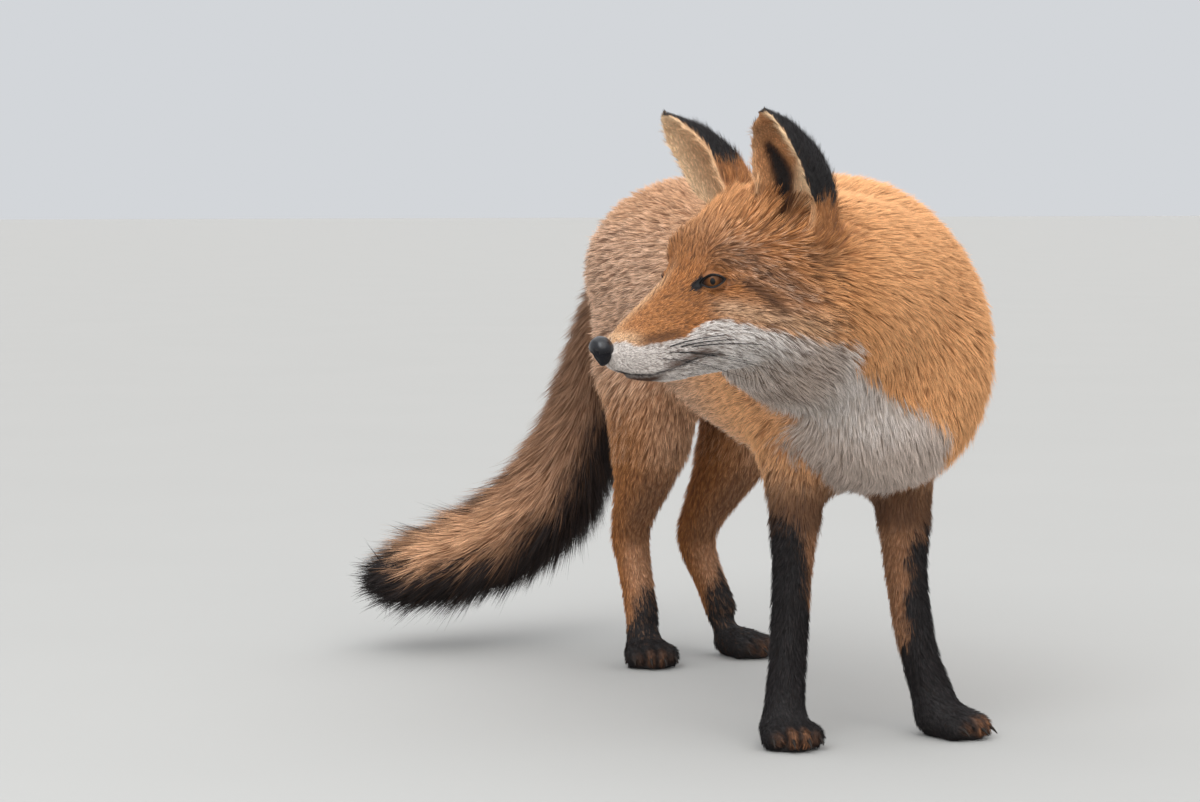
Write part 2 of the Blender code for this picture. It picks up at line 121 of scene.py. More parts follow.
# the head's coat lengthens away from the nose: distance, depth, length and width, in millimetres
HEAD_COAT = (
    (0, 0.35, 1.6, 0.28),
    (25, 0.45, 2.5, 0.32),
    (50, 0.65, 3.8, 0.38),
    (80, 1.1, 5.6, 0.48),
    (110, 2.2, 9.0, 0.62),
    (150, 4.2, 15.0, 0.85),
)
SKIN_CELL = 3.7 * MM
GROWN = 0.6 * MM  # how far each solid is grown before they are joined, to close the cuts between them
FACE_REACH = 60  # how far from the nose's tip the face keeps its own short coat, in millimetres
TAIL_DEPTH = 0.34  # the tail's coat, as a share of its radius
TAIL_LENGTHS = ((0, 0.3, 0.8, 1), (0.024, 0.032, 0.037, 0.034))  # along the tail, and its hairs' length there
TAIL_DRAWN_BACK = 0.020  # how far the skin ends before the tail's solid does
LID_REACH = 0.024  # how far from the eye's middle the skin is fitted to the ball
LID_THICKNESS = 0.8 * MM  # over the eyeball
JAW_DROP = 1.8 * MM  # how far the lower jaw is opened
STANDING = {  # how far a part's hairs stand out of their lie, as a share of their length
    "tail": 0.14,
    "neck": 0.10,
    "trunk": 0.12,
    "thigh": 0.10,
    "ear_": 0.22,
    "shank": 0.10,
    "forearm": 0.08,
}
BAKE_PATCH = 0.003  # how wide a patch of the map a tuft takes
ROOT_SUNK = 0.4 * MM  # how deep in the skin a tuft's root lies
TUFT_RING = ((0.5, 0.0), (0.0, 0.40), (-0.5, 0.0))  # a tuft's root: across and up, as shares of its width
TUFT_FACES = ((2, 1, 0), (0, 1, 3), (1, 2, 3), (2, 0, 3))  # the ring's three points, and the tip
PIECES = {  # how many tufts each piece has, and how many make a lock
    "coat_muzzle": (40000, 3),
    "coat_crown": (38000, 4),
    "coat_ears": (25000, 4),
    "coat_neck": (39000, 5),
    "coat_chest": (16000, 5),
    "coat_shoulders": (41000, 5),
    "coat_flanks": (46000, 5),
    "coat_thighs": (26000, 5),
    "coat_forelegs": (27000, 5),
    "coat_hindlegs": (30000, 5),
    "coat_tail": (43000, 6),
}
COAT_SLOTS = {  # the other pieces are orange_coat
    "coat_flanks": "grey_brown_coat",
    "coat_thighs": "grey_brown_coat",
    "coat_hindlegs": "grey_brown_coat",
    "coat_tail": "grey_brown_coat",
    "coat_forelegs": "black_coat",
    "coat_chest": "white_coat",
}
LOCK_PULL = 0.55  # how far the tips of a lock's tufts are drawn together
CROWN_FROM_NOSE = 0.088  # where the face's shortest coat ends
FLANK_START = -0.035  # where the shoulders give way to the flanks, in the fox's own frame
MASKS = ("white", "black", "dusk", "umber", "silver", "cream", "rust", "flecks", "tail", "pale")
WHISKER_ROWS = (  # how far forward the first stands, its height, how many, how thick, how long and how steep
    (0.0415, -0.0392, 3, 1.0, 0.062, 0.10),
    (0.0425, -0.0430, 3, 0.65, 0.054, -0.10),
    (0.0470, -0.0465, 3, 0.45, 0.036, -0.22),
)
NOSE_HALF_SIZES = (0.0092, 0.0086, 0.0100)
PUPIL = (0.20, 0.26)  # its half width and half height, as shares of the ball's radius

# ---- the stage: the camera's place is from the fox's own origin, and its angles are in degrees
FLOOR_HALF_SIZE = 40.0
CAMERA_PLACE = (-0.950, -2.219, 0.385)
CAMERA_LENS = 95.7
CAMERA_TILTED_DOWN = 3.78
CAMERA_TURNED = -20

COLOURS = {  # linear RGB
    "orange": (0.60, 0.235, 0.066),
    "orange_root": (0.27, 0.095, 0.026),
    "apricot": (1.00, 0.505, 0.226),
    "apricot_root": (0.52, 0.225, 0.090),
    "dusk": (0.94, 0.585, 0.385),
    "dusk_root": (0.40, 0.215, 0.130),
    "white": (0.93, 0.875, 0.84),
    "white_root": (0.66, 0.59, 0.54),
    # the bib's white: warmer hair, and darker than the white as painted shade
    "bib": (0.68, 0.555, 0.48),
    "bib_root": (0.47, 0.36, 0.29),
    "black": (0.0080, 0.0062, 0.0066),
    "black_light": (0.036, 0.029, 0.029),
    "umber": (0.080, 0.035, 0.018),
    "toe": (0.260, 0.110, 0.048),
    "silver": (0.90, 0.66, 0.50),
    "cream": (1.00, 0.70, 0.43),
    "iris": (0.130, 0.046, 0.010),
    "iris_edge": (0.030, 0.009, 0.002),
    "pupil": (0.003, 0.003, 0.003),
    "eye_corner": (0.022, 0.014, 0.011),
    "lid": (0.005, 0.004, 0.004),
    "nose": (0.006, 0.006, 0.009),
    "claw": (0.020, 0.014, 0.011),
    "whisker": (0.005, 0.004, 0.004),
    "floor": (0.42, 0.415, 0.40),
    "studio": (0.93, 0.96, 1.0),
}


# ---- small tools


def unit(vectors):
    """The vectors, each made 1 long."""
    return vectors / np.maximum(np.linalg.norm(vectors, axis=-1, keepdims=True), 1e-12)


def flattened(vectors, normals):
    """The vectors without what stands up from the surface."""
    return vectors - normals * (vectors * normals).sum(axis=1, keepdims=True)


def ease(low, high, values):
    """0 below low, 1 above high, and smooth between them."""
    share = np.clip((values - low) / (high - low), 0, 1)
    return share * share * (3 - 2 * share)


def bell(values, middle, width):
    """1 at the middle, falling smoothly to 0 over about twice the width on either side."""
    return np.exp(-(((values - middle) / width) ** 2))


def within(values, low, high):
    return (values > low) & (values < high)


def waves(points, size, seed, octaves=5):
    """A smooth field from -1 to 1, whose hills are about size apart."""
    draw = np.random.default_rng(seed)
    total = np.zeros(len(points))
    for _ in range(octaves):
        direction = unit(draw.normal(size=3)) / size * draw.uniform(3.5, 8.0)
        total += np.sin(points @ direction + draw.uniform(0, 6.28))
    return total / octaves * 1.6


def middle_of(node):
    low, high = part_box(node)
    return (low + high) / 2


def read(items, name, width, kind=np.float32):
    """One property of all a mesh's items, with a row for each."""
    values = np.empty(len(items) * width, kind)
    items.foreach_get(name, values)
    return values.reshape(-1, width)


def write_points(mesh, points):
    mesh.vertices.foreach_set("co", points.astype(np.float32).ravel())
    mesh.update()


def write_attribute(mesh, name, values):
    attribute = mesh.attributes.new(name, "FLOAT", "POINT")
    attribute.data.foreach_set("value", values.astype(np.float32))


def normals_of(mesh):
    return read(mesh.vertex_normals, "vector", 3).astype(float)


def smooth(mesh):
    mesh.polygons.foreach_set("use_smooth", np.ones(len(mesh.polygons), bool))


def mesh_of(name, points, faces):
    """A mesh of faces with the same number of corners each."""
    mesh = bpy.data.meshes.new(name)
    mesh.vertices.add(len(points))
    mesh.vertices.foreach_set("co", points.astype(np.float32).ravel())
    mesh.loops.add(faces.size)
    mesh.loops.foreach_set("vertex_index", faces.astype(np.int32).ravel())
    mesh.polygons.add(len(faces))
    starts = np.arange(0, faces.size, faces.shape[1], dtype=np.int32)
    mesh.polygons.foreach_set("loop_start", starts)
    mesh.update(calc_edges=True)
    return mesh


def object_of(name, data):
    obj = bpy.data.objects.new(name, data)
    bpy.context.scene.collection.objects.link(obj)
    return obj


def evaluated(obj):
    """The object's mesh with its modifiers, as a plain mesh."""
    return bpy.data.meshes.new_from_object(obj.evaluated_get(bpy.context.evaluated_depsgraph_get()))


# ---- frames

HEAD_YAWED = Matrix.Rotation(math.radians(HEAD_YAW), 3, "Z")
HEAD_TURN = HEAD_YAWED @ Matrix.Rotation(math.radians(HEAD_PITCH), 3, "X")
ORIGIN = middle_of("nose") - EYES_MIDDLE - HEAD_TURN @ NOSE_FROM_EYES  # where the fox's own origin lies
HEAD = Matrix.Translation(ORIGIN + EYES_MIDDLE) @ HEAD_TURN.to_4x4()
NOSE_TIP = HEAD @ Vector((0, -0.0890, -0.0375))


def in_head(points):
    """Points in the head's frame, as how far to its left, how far forward and how far up."""
    turned = (points - np.array(HEAD.translation)) @ np.array(HEAD_TURN)
    return turned * (1, -1, 1)


def head_direction(left, forward, up):
    return np.array(HEAD_TURN @ Vector((left, -forward, up)))


def from_nose_tip(points):
    """How far points are from the tip of the nose."""
    return np.linalg.norm(points - np.array(NOSE_TIP), axis=1)


def paw_frame(paw):
    x, y, turned = PAWS[paw]
    outwards = 1 if "left" in paw else -1
    place = Matrix.Translation(ORIGIN + Vector((x, y, 0)))
    return place @ Matrix.Rotation(outwards * math.radians(turned), 4, "Z")


def in_paw(points, paw):
    """Points in a paw's frame, as its x, y and z. Its toes point towards -y."""
    turn = np.array(paw_frame(paw).inverted())
    return (points @ turn[:3, :3].T + turn[:3, 3]).T


def toe_frame(paw, step):
    reach = PAW_LENGTH * (0.36 if abs(step) < 1 else 0.20)
    place = Matrix.Translation((step * 1.02 * TOE_RADIUS, -reach, TOE_RADIUS * 0.95))
    return paw_frame(paw) @ place @ Matrix.Rotation(math.radians(6 * step), 4, "Z")


def tail_field(points):
    """How far along the tail each point is, from 0 to 1, with the tail's direction and its radius there."""
    line = np.array(TAIL_LINE)
    line[:, :3] += np.array(ORIGIN)
    starts = line[:-1, :3]
    steps = np.diff(line[:, :3], axis=0)
    lengths = np.linalg.norm(steps, axis=1)
    shares = np.einsum("psk,sk->ps", points[:, None] - starts, steps) / lengths**2
    shares = np.clip(shares, 0, 1)
    gaps = np.linalg.norm(points[:, None] - (starts + shares[..., None] * steps), axis=2)
    nearest = gaps.argmin(axis=1)
    share = shares[np.arange(len(points)), nearest]
    before = np.concatenate([[0], np.cumsum(lengths)])
    along = (before[nearest] + share * lengths[nearest]) / before[-1]
    radius = line[nearest, 3] * (1 - share) + line[nearest + 1, 3] * share
    return along, unit(steps)[nearest], radius


# ---- the skin


def without_claws(paw, point):
    """The point, or where it is one of a claw's, its place pressed back onto the toe."""
    half_width, half_height = CLAW_ROOM
    for step in TOES:
        toe = toe_frame(paw, step)
        local = toe.inverted() @ point
        if abs(local.x) < half_width and local.y < -TOE_FRONT and abs(local.z) < half_height:
            local.y = -TOE_FRONT
            return toe @ local
    return point


def joined_solids():
    """All the solids as one mesh, each a little grown, so that the cuts between them close."""
    points, faces = [], []
    for name in NAMES:
        form = bmesh.new()
        form.from_mesh(NODES[name].data)
        bmesh.ops.remove_doubles(form, verts=form.verts, dist=1e-6)
        form.normal_update()
        form.verts.index_update()
        start = len(points)
        grown = [vert.co + vert.normal * GROWN for vert in form.verts]
        if name.endswith("_paw"):
            grown = [without_claws(name.removesuffix("_paw"), point) for point in grown]
        points += grown
        faces += [[vert.index + start for vert in face.verts] for face in form.faces]
        form.free()
    mesh = bpy.data.meshes.new("joined")
    mesh.from_pydata(points, [], faces)
    return mesh


def remeshed(mesh, cell):
    obj = object_of("remesh", mesh)
    modifier = obj.modifiers.new("remesh", "REMESH")
    modifier.mode = "VOXEL"
    modifier.voxel_size = cell
    made = evaluated(obj)
    bpy.data.objects.remove(obj)
    return made


def eye_frame(side):
    """The eyeball's middle, and its axes to the inner corner, up and along its gaze."""
    out, forward, up = EYE_GAZE
    gaze = (HEAD_TURN @ Vector((side * out, forward, up))).normalized()
    slant = math.radians(EYE_SLANT)
    inner = HEAD_TURN @ Vector((0, -math.cos(slant), -math.sin(slant)))
    inner = (inner - gaze * inner.dot(gaze)).normalized()
    above = gaze.cross(inner) * side
    if above.z < 0:
        above = -above
    return middle_of("eye_left" if side > 0 else "eye_right"), inner, above, gaze


def refine(form, chosen):
    """Halves the faces whose edges' middles are chosen."""
    middles = np.array([(edge.verts[0].co + edge.verts[1].co) / 2 for edge in form.edges])
    picked = chosen(middles)
    edges = [edge for edge, take in zip(form.edges, picked) if take]
    bmesh.ops.subdivide_edges(form, edges=edges, cuts=1, use_grid_fill=True)


def eye_radius(side_name):
    low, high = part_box(f"eye_{side_name}")
    return (high - low).z / 2


def eye_outline(c, s):
    """A point of the lids' opening, towards the inner corner and up, for an angle's cosine and sine."""
    inner_reach, outer_reach, above_reach, below_reach = EYE_OPENING
    a = math.copysign(abs(c) ** (2 / EYE_OUTLINE_POWER), c) * (inner_reach if c > 0 else outer_reach)
    b = math.copysign(abs(s) ** (2 / EYE_OUTLINE_POWER), s) * (above_reach if s > 0 else below_reach)
    return a, b


def near_eyes(points, reach):
    found = np.zeros(len(points), bool)
    for side in (-1, 1):
        centre, _, _, gaze = eye_frame(side)
        away = points - np.array(centre + gaze * 0.006)
        found |= np.linalg.norm(away, axis=1) < reach
    return found


def mouth_level(forward):
    """How high the line of the mouth lies, in the head's frame."""
    places, levels = np.array(MOUTH_LINE).T * CM
    return np.interp(forward, places, levels)


def near_mouth(points, reach):
    left, forward, up = in_head(points).T
    level = up - mouth_level(forward)
    return within(level, -reach, reach) & within(forward, 0.004, 0.095) & within(left, -0.05, 0.05)


def on_toes(points):
    found = np.zeros(len(points), bool)
    for paw in PAWS:
        x, y, z = in_paw(points, paw)
        found |= within(x, -0.03, 0.03) & within(y, -0.05, -0.008) & (z < 0.030)
    return found


def on_face(points):
    """Which points are on the front half of the head or on the ears."""
    left, forward, up = in_head(points).T
    face = within(forward, -0.035, 0.1) & within(left, -0.06, 0.06) & (up > -0.075)
    ears = within(forward, -0.09, 0.0) & within(left, -0.09, 0.09) & within(up, 0.045, 0.125)
    return face | ears


def neighbour_mean(values, edges, degree):
    a, b = edges.T
    count = len(degree)
    if values.ndim == 1:
        total = np.bincount(a, values[b], count) + np.bincount(b, values[a], count)
        return total / degree
    return np.stack([neighbour_mean(column, edges, degree) for column in values.T], axis=1)


def spread(values, edges, rounds, share=0.5):
    """Values evened out over the mesh. share may differ from point to point."""
    count = len(values)
    degree = np.maximum(np.bincount(edges.ravel(), minlength=count), 1)
    weight = share[:, None] if isinstance(share, np.ndarray) and values.ndim > 1 else share
    for _ in range(rounds):
        values = values + weight * (neighbour_mean(values, edges, degree) - values)
    return values


class Skin:
    """The skin's mesh, and what the coat is like at each of its points."""

    def on(self, *words):
        """1 where a point's node has any of the words in its name."""
        table = np.array([float(any(word in name for word in words)) for name in NAMES])
        return table[self.owner]

    def spread(self, values, rounds, share=0.5):
        return spread(values, self.edges, rounds, share)

    def mark(self, mask, *values):
        """Makes a mask at least as strong as each of the values."""
        self.masks[mask] = np.maximum.reduce([self.masks[mask], *values])


def nearest_nodes(points):
    """The index in NAMES of the solid nearest to each point."""
    corners, faces, owners = [], [], []
    for index, name in enumerate(NAMES):
        mesh = NODES[name].data
        start = len(corners)
        corners += [vert.co for vert in mesh.vertices]
        faces += [[corner + start for corner in face.vertices] for face in mesh.polygons]
        owners += [index] * len(mesh.polygons)
    tree = BVHTree.FromPolygons(corners, faces)
    return np.array([owners[tree.find_nearest(point)[2]] for point in points.tolist()])


def base_skin():
    """The solids joined in one skin, finer on the face, round the eyes and along the mouth."""
    mesh = remeshed(joined_solids(), SKIN_CELL)
    form = bmesh.new()
    form.from_mesh(mesh)
    refine(form, lambda points: on_face(points) | on_toes(points))
    refine(form, lambda points: near_eyes(points, 0.017) | near_mouth(points, 0.005))
    refine(form, lambda points: near_eyes(points, 0.0120))
    form.to_mesh(mesh)
    form.free()
    return mesh


def coat_sizes(skin):
    """Depth, length and width of the coat at each point."""
    table = np.array([COAT[max((word for word in COAT if word in name), key=len)] for name in NAMES])
    sizes = (table * MM)[skin.owner]
    away = from_nose_tip(skin.points) / MM
    distances, *columns = np.array(HEAD_COAT).T
    muzzle = np.stack([np.interp(away, distances, column) * MM for column in columns], axis=1)
    head = skin.on("head", "jaw") > 0
    sizes[head] = muzzle[head]
    along, _, radius = tail_field(skin.points)
    tail = skin.on("tail") > 0
    sizes[tail, 0] = TAIL_DEPTH * radius[tail]
    sizes[tail, 1] = np.interp(along[tail], *TAIL_LENGTHS)
    sizes = skin.spread(sizes, 25)
    face = skin.spread(((away < FACE_REACH) & head).astype(float), 6)
    return sizes + face[:, None] * (muzzle - sizes)


def sink(skin):
    """Moves the skin in by the coat's depth. The soles stay on the floor and the tail's end draws back."""
    even = unit(skin.spread(skin.normals, 8))
    skin.sole = ease(0.75, 0.95, -skin.normals[:, 2]) * ease(0.006, 0.002, skin.points[:, 2])
    skin.depth = skin.depth * (1 - skin.sole)
    points = skin.points - even * (skin.depth + GROWN)[:, None]
    along, direction, _ = tail_field(skin.points)
    tail = skin.spread(skin.on("tail_tip", "tail_middle"), 4)
    return points - direction * (tail * ease(0.62, 1.0, along) * TAIL_DRAWN_BACK)[:, None]


def lids(skin):
    """Lids that lie on each eyeball round its opening. Inside the opening the skin passes behind the eye."""
    skin.rim = np.zeros(len(skin.points))
    skin.duct = np.zeros(len(skin.points))
    inner_reach, outer_reach, above_reach, below_reach = EYE_OPENING
    radius = eye_radius("left")
    for side in (-1, 1):
        centre, inner, above, gaze = np.array(eye_frame(side))
        away = skin.points - centre
        a, b, c = away @ inner, away @ above, away @ gaze
        near = (np.linalg.norm(away, axis=1) < LID_REACH) & (c > 0)

        # how far each point is outside the opening, with the nearest ones drawn onto its edge
        reach = np.where(a > 0, inner_reach, outer_reach)
        height = np.where(b > 0, above_reach, below_reach)
        level = np.abs(a / reach) ** EYE_OUTLINE_POWER + np.abs(b / height) ** EYE_OUTLINE_POWER
        level = level ** (1 / EYE_OUTLINE_POWER)
        edge = near & (np.abs(level - 1) < 0.10)
        for values in (a, b):
            values[edge] /= level[edge]
        level[edge] = 1.0
        gap = (level - 1) * np.hypot(a, b) / np.maximum(level, 1e-6)

        # the lid over the ball, and the skin behind it
        flat = a * a + b * b
        ball = np.sqrt(np.maximum(radius**2 - flat, (0.35 * radius) ** 2))
        lid = np.sqrt(np.maximum((radius + LID_THICKNESS) ** 2 - flat, (0.40 * radius) ** 2))
        lid += 0.3 * MM * bell(gap, 1.1 * MM, 0.9 * MM)
        wanted = lid + ease(1.0 * MM, 6.5 * MM, gap) * (c - lid)
        wanted = np.where(level < 0.999, ball - 2.6 * MM, wanted)
        moved = centre + a[:, None] * inner + b[:, None] * above + wanted[:, None] * gaze
        skin.points[near] = moved[near]

        # the bare dark edge, and the dark hair before the inner corner
        rim = ease(1.7 * MM, 0.7 * MM, gap) * near
        corner = a - inner_reach
        before = bell(corner, 4.4 * MM, 5.6 * MM) * bell(b, 0.1 * MM - 0.30 * corner, 3.1 * MM) * near
        over = bell(corner, -0.6 * MM, 2.8 * MM) * bell(b, 2.2 * MM, 1.7 * MM) * near
        skin.duct = np.maximum(skin.duct, ease(0.14, 0.45, np.maximum(before, 0.8 * over)))
        bare_corner = bell(corner, 2.2 * MM, 4.4 * MM) * bell(b, 0.1 * MM - 0.20 * corner, 2.6 * MM) * near
        skin.rim = np.maximum.reduce([skin.rim, rim, bare_corner])


def mouth(skin):
    """The line of the mouth, as a fold under the upper lip."""
    _, forward, up = in_head(skin.points).T
    head = skin.on("head", "jaw", "nose")
    level = mouth_level(forward)
    jaw = ease(0.015, 0.04, forward) * ease(0.090, 0.078, forward) * ease(-0.042, -0.056, up) * head
    skin.points += np.outer(JAW_DROP * jaw, head_direction(0, 0, -1))
    _, forward, up = in_head(skin.points).T
    length = ease(0.006, 0.014, forward) * head
    fold = bell(up, level, 1.0 * MM) * length
    lip = bell(up, level + 2.6 * MM, 1.5 * MM) * length * ease(0.006, 0.03, forward)
    skin.points -= skin.normals * (1.3 * MM * fold - 0.6 * MM * lip)[:, None]
    skin.lip = bell(up, level, 1.3 * MM) * length
    skin.chin = ease(level - 0.5 * MM, level - 2.0 * MM, up) * ease(0.040, 0.052, forward) * head


def across_ear(outwards, forward):
    """How far across an ear's front a point lies, in centimetres, as the camera sees the near ear, and
    mirrored for the far one.
    """
    return 0.53 * outwards - 0.848 * forward


def ear_hollow(across, up):
    """The hollow of an ear's front, in dark hair and painted shadow: narrow at the top, and bent inwards at
    its foot.
    """
    middle = np.interp(up, (3.2, 4.2, 5.5, 6.5, 7.5, 8.6), (5.00, 5.60, 5.95, 5.95, 5.68, 5.05))
    half = np.interp(up, (3.2, 5.5, 6.5, 7.5, 8.8), (0.48, 0.60, 0.70, 0.56, 0.30))
    return bell(across, middle, half) * ease(2.8, 3.8, up) * ease(9.4, 8.2, up)


def ear_feet(skin):
    """The fold below each ear filled out, and the ear's hollow carried down to the cheek."""
    left, forward, up = (in_head(skin.points) / CM).T
    skin.fold = bell(forward, -5.5, 1.2) * bell(up, 4.5, 1.4) * ease(2.5, 3.5, np.abs(left))
    skin.points = skin.spread(skin.points, 200, 0.5 * np.minimum(1.3 * skin.fold, 1))
    left, forward, up = (in_head(skin.points) / CM).T
    outwards = np.abs(left)
    across = across_ear(outwards, forward)
    head = skin.spread(skin.on("head"), 3)
    outer = ease(2.0, 3.0, outwards)
    skin.pit = head * ear_hollow(across, up) * ease(7.8, 6.4, up) * outer
    skin.apron = head * bell(across, 6.75, 0.50) * ease(3.4, 4.4, up) * ease(7.5, 6.0, up) * outer
    skin.points -= skin.normals * (5 * MM * skin.pit)[:, None]


def ankles(skin):
    """The notch between each hind leg and its paw filled out."""
    for paw in ("hind_right", "hind_left"):
        _, y, z = in_paw(skin.points, paw)
        mine = skin.spread(skin.on(paw), 2)
        push = 3.0 * MM * mine * bell(z, 0.025, 0.009) * ease(-0.020, -0.008, y)
        level = skin.normals * (1, 1, 0.2)
        skin.points += level * push[:, None]


def toes(skin):
    """Grooves between the toes, and the end of the muzzle drawn in behind the nose pad."""
    skin.grooves = np.zeros(len(skin.points))
    for paw in PAWS:
        x, y, z = in_paw(skin.points, paw)
        mine = skin.on(paw + "_paw")
        for gap in (-1, 0, 1):
            middle = gap * TOE_RADIUS * (1.02 + 5 * np.maximum(-y - 0.02, 0))
            groove = bell(x, middle, 1.9 * MM) * ease(0.010, 0.022, -y) * ease(0.001, 0.005, z)
            skin.points -= skin.normals * (2.6 * MM * mine * groove)[:, None]
            skin.grooves = np.maximum(skin.grooves, mine * groove)
    behind_pad = np.array(middle_of("nose")) + head_direction(0, -0.004, 0)
    skin.points += (0.42 * skin.on("nose"))[:, None] * (behind_pad - skin.points)


# ---- the lie of the coat


def comb_head(head, face):
    """The lie over the brow and cheek: up from the brow, over the eye and down towards the neck."""
    _, forward, up = (head / CM).T
    behind = np.interp(up, (-3, -1.5, -0.5, 0.5, 2.0, 2.6, 3.4, 4.5), (-18, -12, -12, -35, -24, 4, 38, 50))
    behind -= 18 * ease(-1.0, -3.0, forward) * ease(1.0, -1.0, up)
    before = np.interp(up, (-3, -0.5, 0.3, 1.2, 2.5, 4.0), (0, 5, 30, 75, 80, 60))
    share = ease(0.3, 1.8, forward)
    angle = np.radians(behind * (1 - share) + before * share)
    back = np.outer(np.cos(angle), head_direction(0, -1, 0))
    combed = back + np.outer(np.sin(angle), head_direction(0, 0, 1))
    weight = (ease(3.4, 2.2, forward) * ease(-6.0, -4.5, forward))[:, None]
    return unit(face) * (1 - weight) + combed * weight


def lie_fields(skin):
    """The direction in which the hairs point over each kind of node, by a word of its name."""
    points, normals = skin.points, skin.normals
    head = in_head(points)
    from_nose = unit(points - np.array(NOSE_TIP))
    back = head_direction(0, -1, 0)
    sideways = ease(0.018, 0.05, np.abs(head[:, 0])) * ease(0.01, -0.05, head[:, 1])
    face = from_nose + 0.5 * back + np.array((0, 0, -0.75)) * sideways[:, None]
    face = comb_head(head, face)
    low = ease(0.34, 0.25, points[:, 2])
    neck = np.stack([0.85 - 0.7 * low, 0.25 - 0.15 * low, -0.30 - 0.75 * low], axis=1)
    chest = ease(0.1, 0.6, -normals[:, 1])
    trunk = np.stack([0.15 * chest, 1 - chest, -0.28 - 0.75 * chest], axis=1)
    trunk[:, 2] *= ease(-0.9, -0.3, normals[:, 2])
    fields = {
        "head": face,
        "jaw": from_nose * 0.6 + back + np.array((0, 0, -0.15)),
        "nose": from_nose,
        "eye": face,
        "neck": neck,
        "trunk": trunk,
        "tail": tail_field(points)[1],
        "upper_arm": (0, 0.18, -1.0),
        "forearm": (0, 0.10, -1.0),
        "thigh": (0, 0.42, -1.0),
        "shank": (0, 0.45, -1.0),
        "metatarsus": (0, -0.25, -1.0),
        "ear_left": head_direction(0.22, 0.28, 1.0),
        "ear_right": head_direction(-0.22, 0.28, 1.0),
    }
    for paw in PAWS:
        fields[paw + "_paw"] = np.array(paw_frame(paw).to_3x3() @ Vector((0, -1, -0.75)))
    return fields


def hair_lie(skin):
    """The direction in which the coat lies, from the nose back over the body and down the legs."""
    lie = np.zeros_like(skin.points)
    for word, field in lie_fields(skin).items():
        mine = skin.on(word) > 0
        lie[mine] = np.broadcast_to(field, lie.shape)[mine]
    lie = unit(lie)
    for _ in range(6):
        lie = unit(flattened(skin.spread(lie, 8), skin.normals))
    return lie


# ---- the coat's markings, as masks from 0 to 1. In the head's frame, lengths are in centimetres.

BIB_RIGHT_EDGE = (  # heights over the floor, and how far to the fox's left the bib's edge lies there
    (0.15, 0.184, 0.207, 0.225, 0.2465, 0.262, 0.29),
    (-0.030, -0.046, -0.066, -0.073, -0.080, -0.105, -0.21),
)
BIB_LEFT_EDGE = (
    (0.15, 0.195, 0.215, 0.228, 0.240, 0.252, 0.2675, 0.283, 0.30),
    (0.020, 0.026, 0.027, 0.024, 0.006, -0.020, -0.045, -0.078, -0.12),
)
BIB_FADE = 0.014
CHEEK_LINE = (  # forward of the eyes, and how high the white begins there
    (-7.0, -4.8, -2.2, -1.0, 0.8, 2.1, 3.5, 5.8, 7.6, 9.0),
    (-4.7, -4.0, -3.3, -3.0, -2.45, -2.6, -3.5, -3.75, -3.3, -3.1),
)
STOCKINGS = {  # the way the black faces, as x and y, then heights, and how far round it stays away there
    "front_right": ((-0.90, -0.44), (0.075, 0.105, 0.137, 0.156, 0.172), (-1.4, -0.30, 0.25, 0.65, 1.25)),
    "front_left": (
        (0.81, -0.57),
        (0.052, 0.070, 0.098, 0.122, 0.145, 0.165),
        (-1.4, -0.45, -0.08, 0.22, 0.60, 1.25),
    ),
    "hind_right": ((0.62, -0.78), (0.020, 0.040, 0.055, 0.070), (-1.4, -0.35, 0.20, 1.20)),
    "hind_left": ((0.42, -0.91), (0.020, 0.038, 0.055, 0.074), (-1.4, -0.45, 0.15, 1.20)),
}
EAR_MIDDLE = (  # heights, and how far out and how far forward the middle of an ear lies there
    (1.8, 6.2, 9.0, 11.2),
    (4.0, 4.5, 5.05, 6.0),
    (-6.3, -5.3, -3.8, -1.6),
)
EAR_MARKS = {  # by side: how brown the tip and the streaks are, and how cream the fringe and the far wall
    1: (0.32, 0.18, 1.0, 0.0),
    -1: (0.0, 0.06, 0.3, 1.0),
}
TAIL_FRONT = (-0.39, -0.92, 0.0)  # the way the tail's outer side faces, orange above and black below
REAR_OUTER = (-0.94, 0.34)  # outwards and back from the right thigh, as x and y
STREAK_START = (-0.12, 0.33)  # forward of the eye and up
STREAK_RUN = (-0.70, -0.714)  # the way the dark streak runs from there, back and down
EVENED = {  # in how many rounds each mask is evened out
    "white": 2,
    "black": 2,
    "dusk": 30,
    "umber": 2,
    "silver": 2,
    "cream": 1,
    "flecks": 1,
    "tail": 4,
    "pale": 25,
}


def mark_cheeks(skin):
    """The white of the muzzle and cheeks, up to a line from the nose to the ruff."""
    _, forward, up = skin.in_head
    skin.line = np.interp(forward, *CHEEK_LINE)
    soft = np.interp(forward, (-4, -1, 1, 4, 7), (0.95, 0.60, 0.30, 0.22, 0.40))
    skin.mark("white", skin.head * ease(1, -1, (up - skin.line + 0.16 * skin.ragged) / soft))


